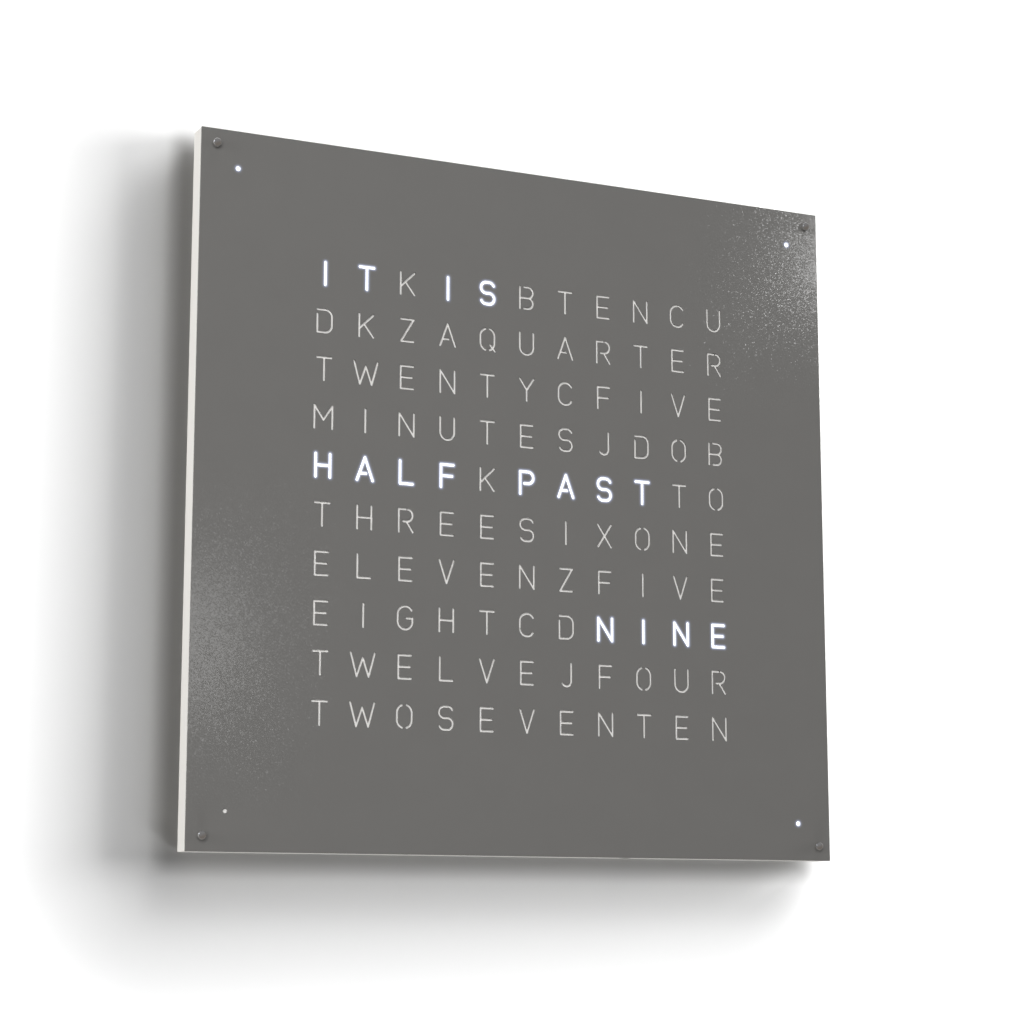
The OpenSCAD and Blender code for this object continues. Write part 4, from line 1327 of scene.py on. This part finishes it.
@dataclass
class Studio:
    """The wall, the lamps and the camera.

    Attributes:
        wall_size: width of the wall.
        wall_gap: how far it stands off the bracket.
        clear_from: distance from the clock's outline at which the wall turns to plain white.
        clear_to: distance at which it has.
        painted_shadow_depth: how dark the painted shadow makes the wall close behind the clock.
        painted_shadow_edge: how far beyond the outline the painted shadow begins to fade, inwards negative,
            and has gone.
        painted_shadow_shift: the painted shadow's offset from the clock, away from the light.
        ambient: level of the light from all round.
        room: colour of the room's upper part, as polished surfaces show it.
        room_floor: colour of its lower part.
        room_light: direction from which the room is light.
        back_room: colour of the upper part behind the clock, as metal on the back shows it.
        back_floor: colour of the lower part there.
        horizon: how far from level the room's two parts blend into each other, as the rise of a direction.
        turn_back: how far towards the wall a direction points before it shows only the back's room.
        eye: the camera's place.
        yaw: how far the camera turns to the right of +Y, in degrees.
        pitch: how far it looks up, in degrees.
        lens: focal length in millimetres.
        film: width of the picture that the lens makes, in millimetres.
    """

    wall_size: float = 12.0
    wall_gap: float = 0.05 * MM
    clear_from: float = 0.0556
    clear_to: float = 0.2113
    painted_shadow_depth: float = 0.503
    painted_shadow_edge: Point = (-0.0039, 0.0122)
    painted_shadow_shift: Point3 = (-0.0069, 0, -0.0057)
    ambient: float = 0.0522
    room: Rgb = (0.2, 0.2, 0.205)
    room_floor: Rgb = (0.165, 0.148, 0.136)
    room_light: Point3 = (-0.4, 0, 0.92)
    back_room: Rgb = (0.85, 0.85, 0.86)
    back_floor: Rgb = (0.3, 0.295, 0.29)
    horizon: float = 0.6
    turn_back: float = 0.4
    eye: Point3 = (-0.65525, -1.40468, -0.424665)
    yaw: float = 24.96
    pitch: float = 9.994
    lens: float = 84.3
    film: float = 36
    lamps: tuple[Lamp, ...] = (
        Lamp("wash_low", (0.68, -1, -0.798), 5.0, 3.264, 0.9, 0.168, reach=Reach.WALL),
        Lamp("wash_right", (3.628, -1, 0.714), 5.0, 1.863, 1.965, 0.41, reach=Reach.WALL),
        Lamp("wash_top", (1.377, -1, 2.72), 5.0, 2.353, 1.628, 0.189, reach=Reach.WALL),
        Lamp("wash_corner", (2.886, -1, 2.677), 5.0, 1.746, 2.161, 0.239, reach=Reach.WALL),
        Lamp("wash_above", (1.971, -1, 5.772), 5.0, 4.457, 4.369, 0.11, reach=Reach.WALL),
        Lamp("front_softbox", (-0.45, -1, 0.3), 4.5, 3.6, 3.6, 0.955, mirrored=False),
        Lamp("shine_right", (0.734, -1, 0.403), 4.0, 0.16, 0.16, 0.0052, reach=Reach.COVER),
        Lamp("shine_left", (0.247, -1, 0.1), 4.0, 0.2, 0.3, 0.0037, reach=Reach.COVER),
        Lamp("glint", (-0.98, -0.08, 0.35), 2.5, 0.8, 0.45, 0.035, facing=(-1, 0, 0), reach=Reach.BALLS,
             colour=(0.8, 0.86, 1.0)),
        Lamp("side_left", (-1, -0.12, 0.15), 3.0, 1.2, 1.2, 0.5, facing=(-1, 0, 0), mirrored=False),
        Lamp("side_right", (1, -0.12, 0.15), 3.0, 1.2, 1.2, 0.6, facing=(1, 0, 0), mirrored=False),
        Lamp("from_above", (0.1, -0.1, 1), 3.0, 1.2, 1.2, 0.46, facing=(0, 0, 1), mirrored=False),
        Lamp("from_below", (-0.1, -0.1, -1), 3.0, 1.2, 1.2, 0.5, facing=(0, 0, -1), mirrored=False),
        Lamp("behind", (0.4, 1, 0.5), 3.5, 2.2, 1.6, 0.75, facing=(0, 1, 0), mirrored=False),
    )

    def build(self, cover: Piece, balls: list[Piece]) -> None:
        """Sets the whole studio up.

        Args:
            cover: the front cover, which its own lamps make sparkle.
            balls: the ball magnets, which have a lamp of their own.
        """
        low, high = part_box("front_cover")
        middle = (low + high) / 2
        middle.y = 0
        wall = self.wall(middle, (high - low) / 2)
        lit = {Reach.WALL: [wall], Reach.CLOCK: [wall], Reach.COVER: [cover], Reach.BALLS: balls}
        receivers = self.receivers(lit)
        for lamp in self.lamps:
            lamp.build(middle, receivers)
        self.surroundings()
        self.camera()
        bpy.context.scene.view_settings.view_transform = "Standard"

    @staticmethod
    def receivers(lit: dict[Reach, list[Piece]]) -> dict[Reach, bpy.types.Collection]:
        """One collection for each reach, of what it names; the clock's lamps leave out what theirs names."""
        made = {}
        for reach, pieces in lit.items():
            made[reach] = bpy.data.collections.new("lit_" + reach.name.lower())
            for piece in pieces:
                made[reach].objects.link(piece)
        made[Reach.CLOCK].collection_objects[0].light_linking.link_state = "EXCLUDE"
        return made

    def wall(self, middle: Vector, half: Vector) -> Piece:
        """A white wall that shows from the front, so that the back can be looked at through it."""
        bm = bmesh.new()
        bmesh.ops.create_grid(bm, x_segments=1, y_segments=1, size=self.wall_size / 2)
        turn(bm, bm.verts[:], 90, "X")
        bmesh.ops.translate(bm, vec=(0, self.wall_gap, middle.z), verts=bm.verts)
        wall = piece_of(bm, "wall")
        wall.data.materials.append(self.wall_paint(middle, half))
        for ray in ("visible_diffuse", "visible_glossy", "visible_transmission", "visible_shadow"):
            setattr(wall, ray, False)
        return wall

    def wall_paint(self, middle: Vector, half: Vector) -> bpy.types.Material:
        """White paint with a painted shadow, a little darker where it touches the clock, and plain white far
        from it.

        Args:
            middle: middle of the clock's face.
            half: half of the face's width, depth and height.

        Returns:
            The paint.
        """
        material = bpy.data.materials.new("wall_paint")
        material.use_nodes = True
        graph = Graph(material.node_tree)
        paint_coat = graph.add("BsdfDiffuse")
        # Painted shadow: the paint darkens close round the clock's outline, shifted away from the light.
        spans = self.beyond(graph, middle + Vector(self.painted_shadow_shift), half)
        near = [graph.spread(span, 1, 0, *self.painted_shadow_edge, soft=True) for span in spans]
        painted_shadow_mask = graph.maths("MULTIPLY", graph.maths("MULTIPLY", *near), self.painted_shadow_depth)
        graph.wire(graph.blend(painted_shadow_mask, (1, 1, 1), (0, 0, 0)), paint_coat.inputs["Color"])
        squares = [graph.maths("POWER", graph.maths("MAXIMUM", span), 2)
                   for span in self.beyond(graph, middle, half)]
        away = graph.maths("SQRT", graph.maths("ADD", *squares))
        clear = graph.spread(away, 0, 1, self.clear_from, self.clear_to, soft=True)
        plain = graph.add("Emission")
        graph.wire(graph.maths("MULTIPLY", clear, graph.add("LightPath").outputs["Is Camera Ray"]),
                   plain.inputs["Strength"])
        both = graph.add("AddShader")
        graph.wire(paint_coat.outputs["BSDF"], both.inputs[0])
        graph.wire(plain.outputs["Emission"], both.inputs[1])
        front_only = graph.shift_between(graph.add("NewGeometry").outputs["Backfacing"],
                                         both.outputs["Shader"], graph.add("BsdfTransparent").outputs["BSDF"])
        graph.wire(front_only, graph.add("OutputMaterial").inputs["Surface"])
        material.cycles.emission_sampling = "NONE"
        return material

    @staticmethod
    def beyond(graph: Graph, middle: Vector, half: Vector) -> list[Socket]:
        """How far a point of the wall lies beyond an outline's sides, and beyond its top or bottom."""
        point = graph.place(shift=-middle)
        return [graph.maths("SUBTRACT", graph.maths("ABSOLUTE", graph.part(point, axis)), reach)
                for axis, reach in (("X", half.x), ("Z", half.z))]

    def surroundings(self) -> None:
        """A white background, a soft grey room in reflections and a little light from all round."""
        world = bpy.data.worlds.new("surroundings")
        world.use_nodes = True
        bpy.context.scene.world = world
        graph = Graph(world.node_tree)
        way = graph.add("TexCoord").outputs["Generated"]
        rise = graph.spread(graph.vector("DOT_PRODUCT", way, self.room_light), 0, 1,
                            -self.horizon, self.horizon)
        ahead = graph.blend(rise, self.room_floor, self.room)
        behind = graph.blend(rise, self.back_floor, self.back_room)
        room = graph.blend(graph.spread(graph.part(way, "Y"), 0, 1, 0, self.turn_back), ahead, behind)

        def backdrop(colour: Point3 | Socket, strength: float = 1) -> Socket:
            """A background of one colour and strength."""
            node = graph.add("Background")
            graph.wire(colour if isinstance(colour, Socket) else (*colour, 1), node.inputs["Color"])
            graph.wire(strength, node.inputs["Strength"])
            return node.outputs["Background"]

        path = graph.add("LightPath").outputs
        lit = graph.shift_between(path["Is Glossy Ray"], backdrop((1, 1, 1), self.ambient), backdrop(room))
        seen = graph.maths("MAXIMUM", path["Is Camera Ray"], path["Is Transmission Ray"])
        shown = graph.shift_between(seen, lit, backdrop((1, 1, 1)))
        graph.wire(shown, graph.add("OutputWorld").inputs["Surface"])

    def camera(self) -> None:
        """The camera at the photograph's viewing angle."""
        data = bpy.data.cameras.new("camera")
        data.lens = self.lens
        data.sensor_width = self.film
        camera = bpy.data.objects.new("camera", data)
        camera.location = self.eye
        camera.rotation_euler = (math.radians(90 + self.pitch), 0, -math.radians(self.yaw))
        bpy.context.scene.collection.objects.link(camera)
        bpy.context.scene.camera = camera


def main() -> None:
    """Builds the clock's pieces in order, then the studio."""
    logging.basicConfig(level=logging.INFO, format="%(name)s: %(message)s")
    dress_nodes()
    letters = LetterField()
    cover = FrontCover()
    cover_piece = cover.build(letters)
    OpalDiffuser().build(letters)
    MinuteDiscs().build(cover)
    balls = build_balls()
    for node in ("back_cover_screws", "hanger_rail_screws", "led_board_screws", "control_board_screws"):
        CrossScrew().build(node)
    Bumper().build()
    Studio().build(cover_piece, balls)


if __name__ == "__main__":
    main()
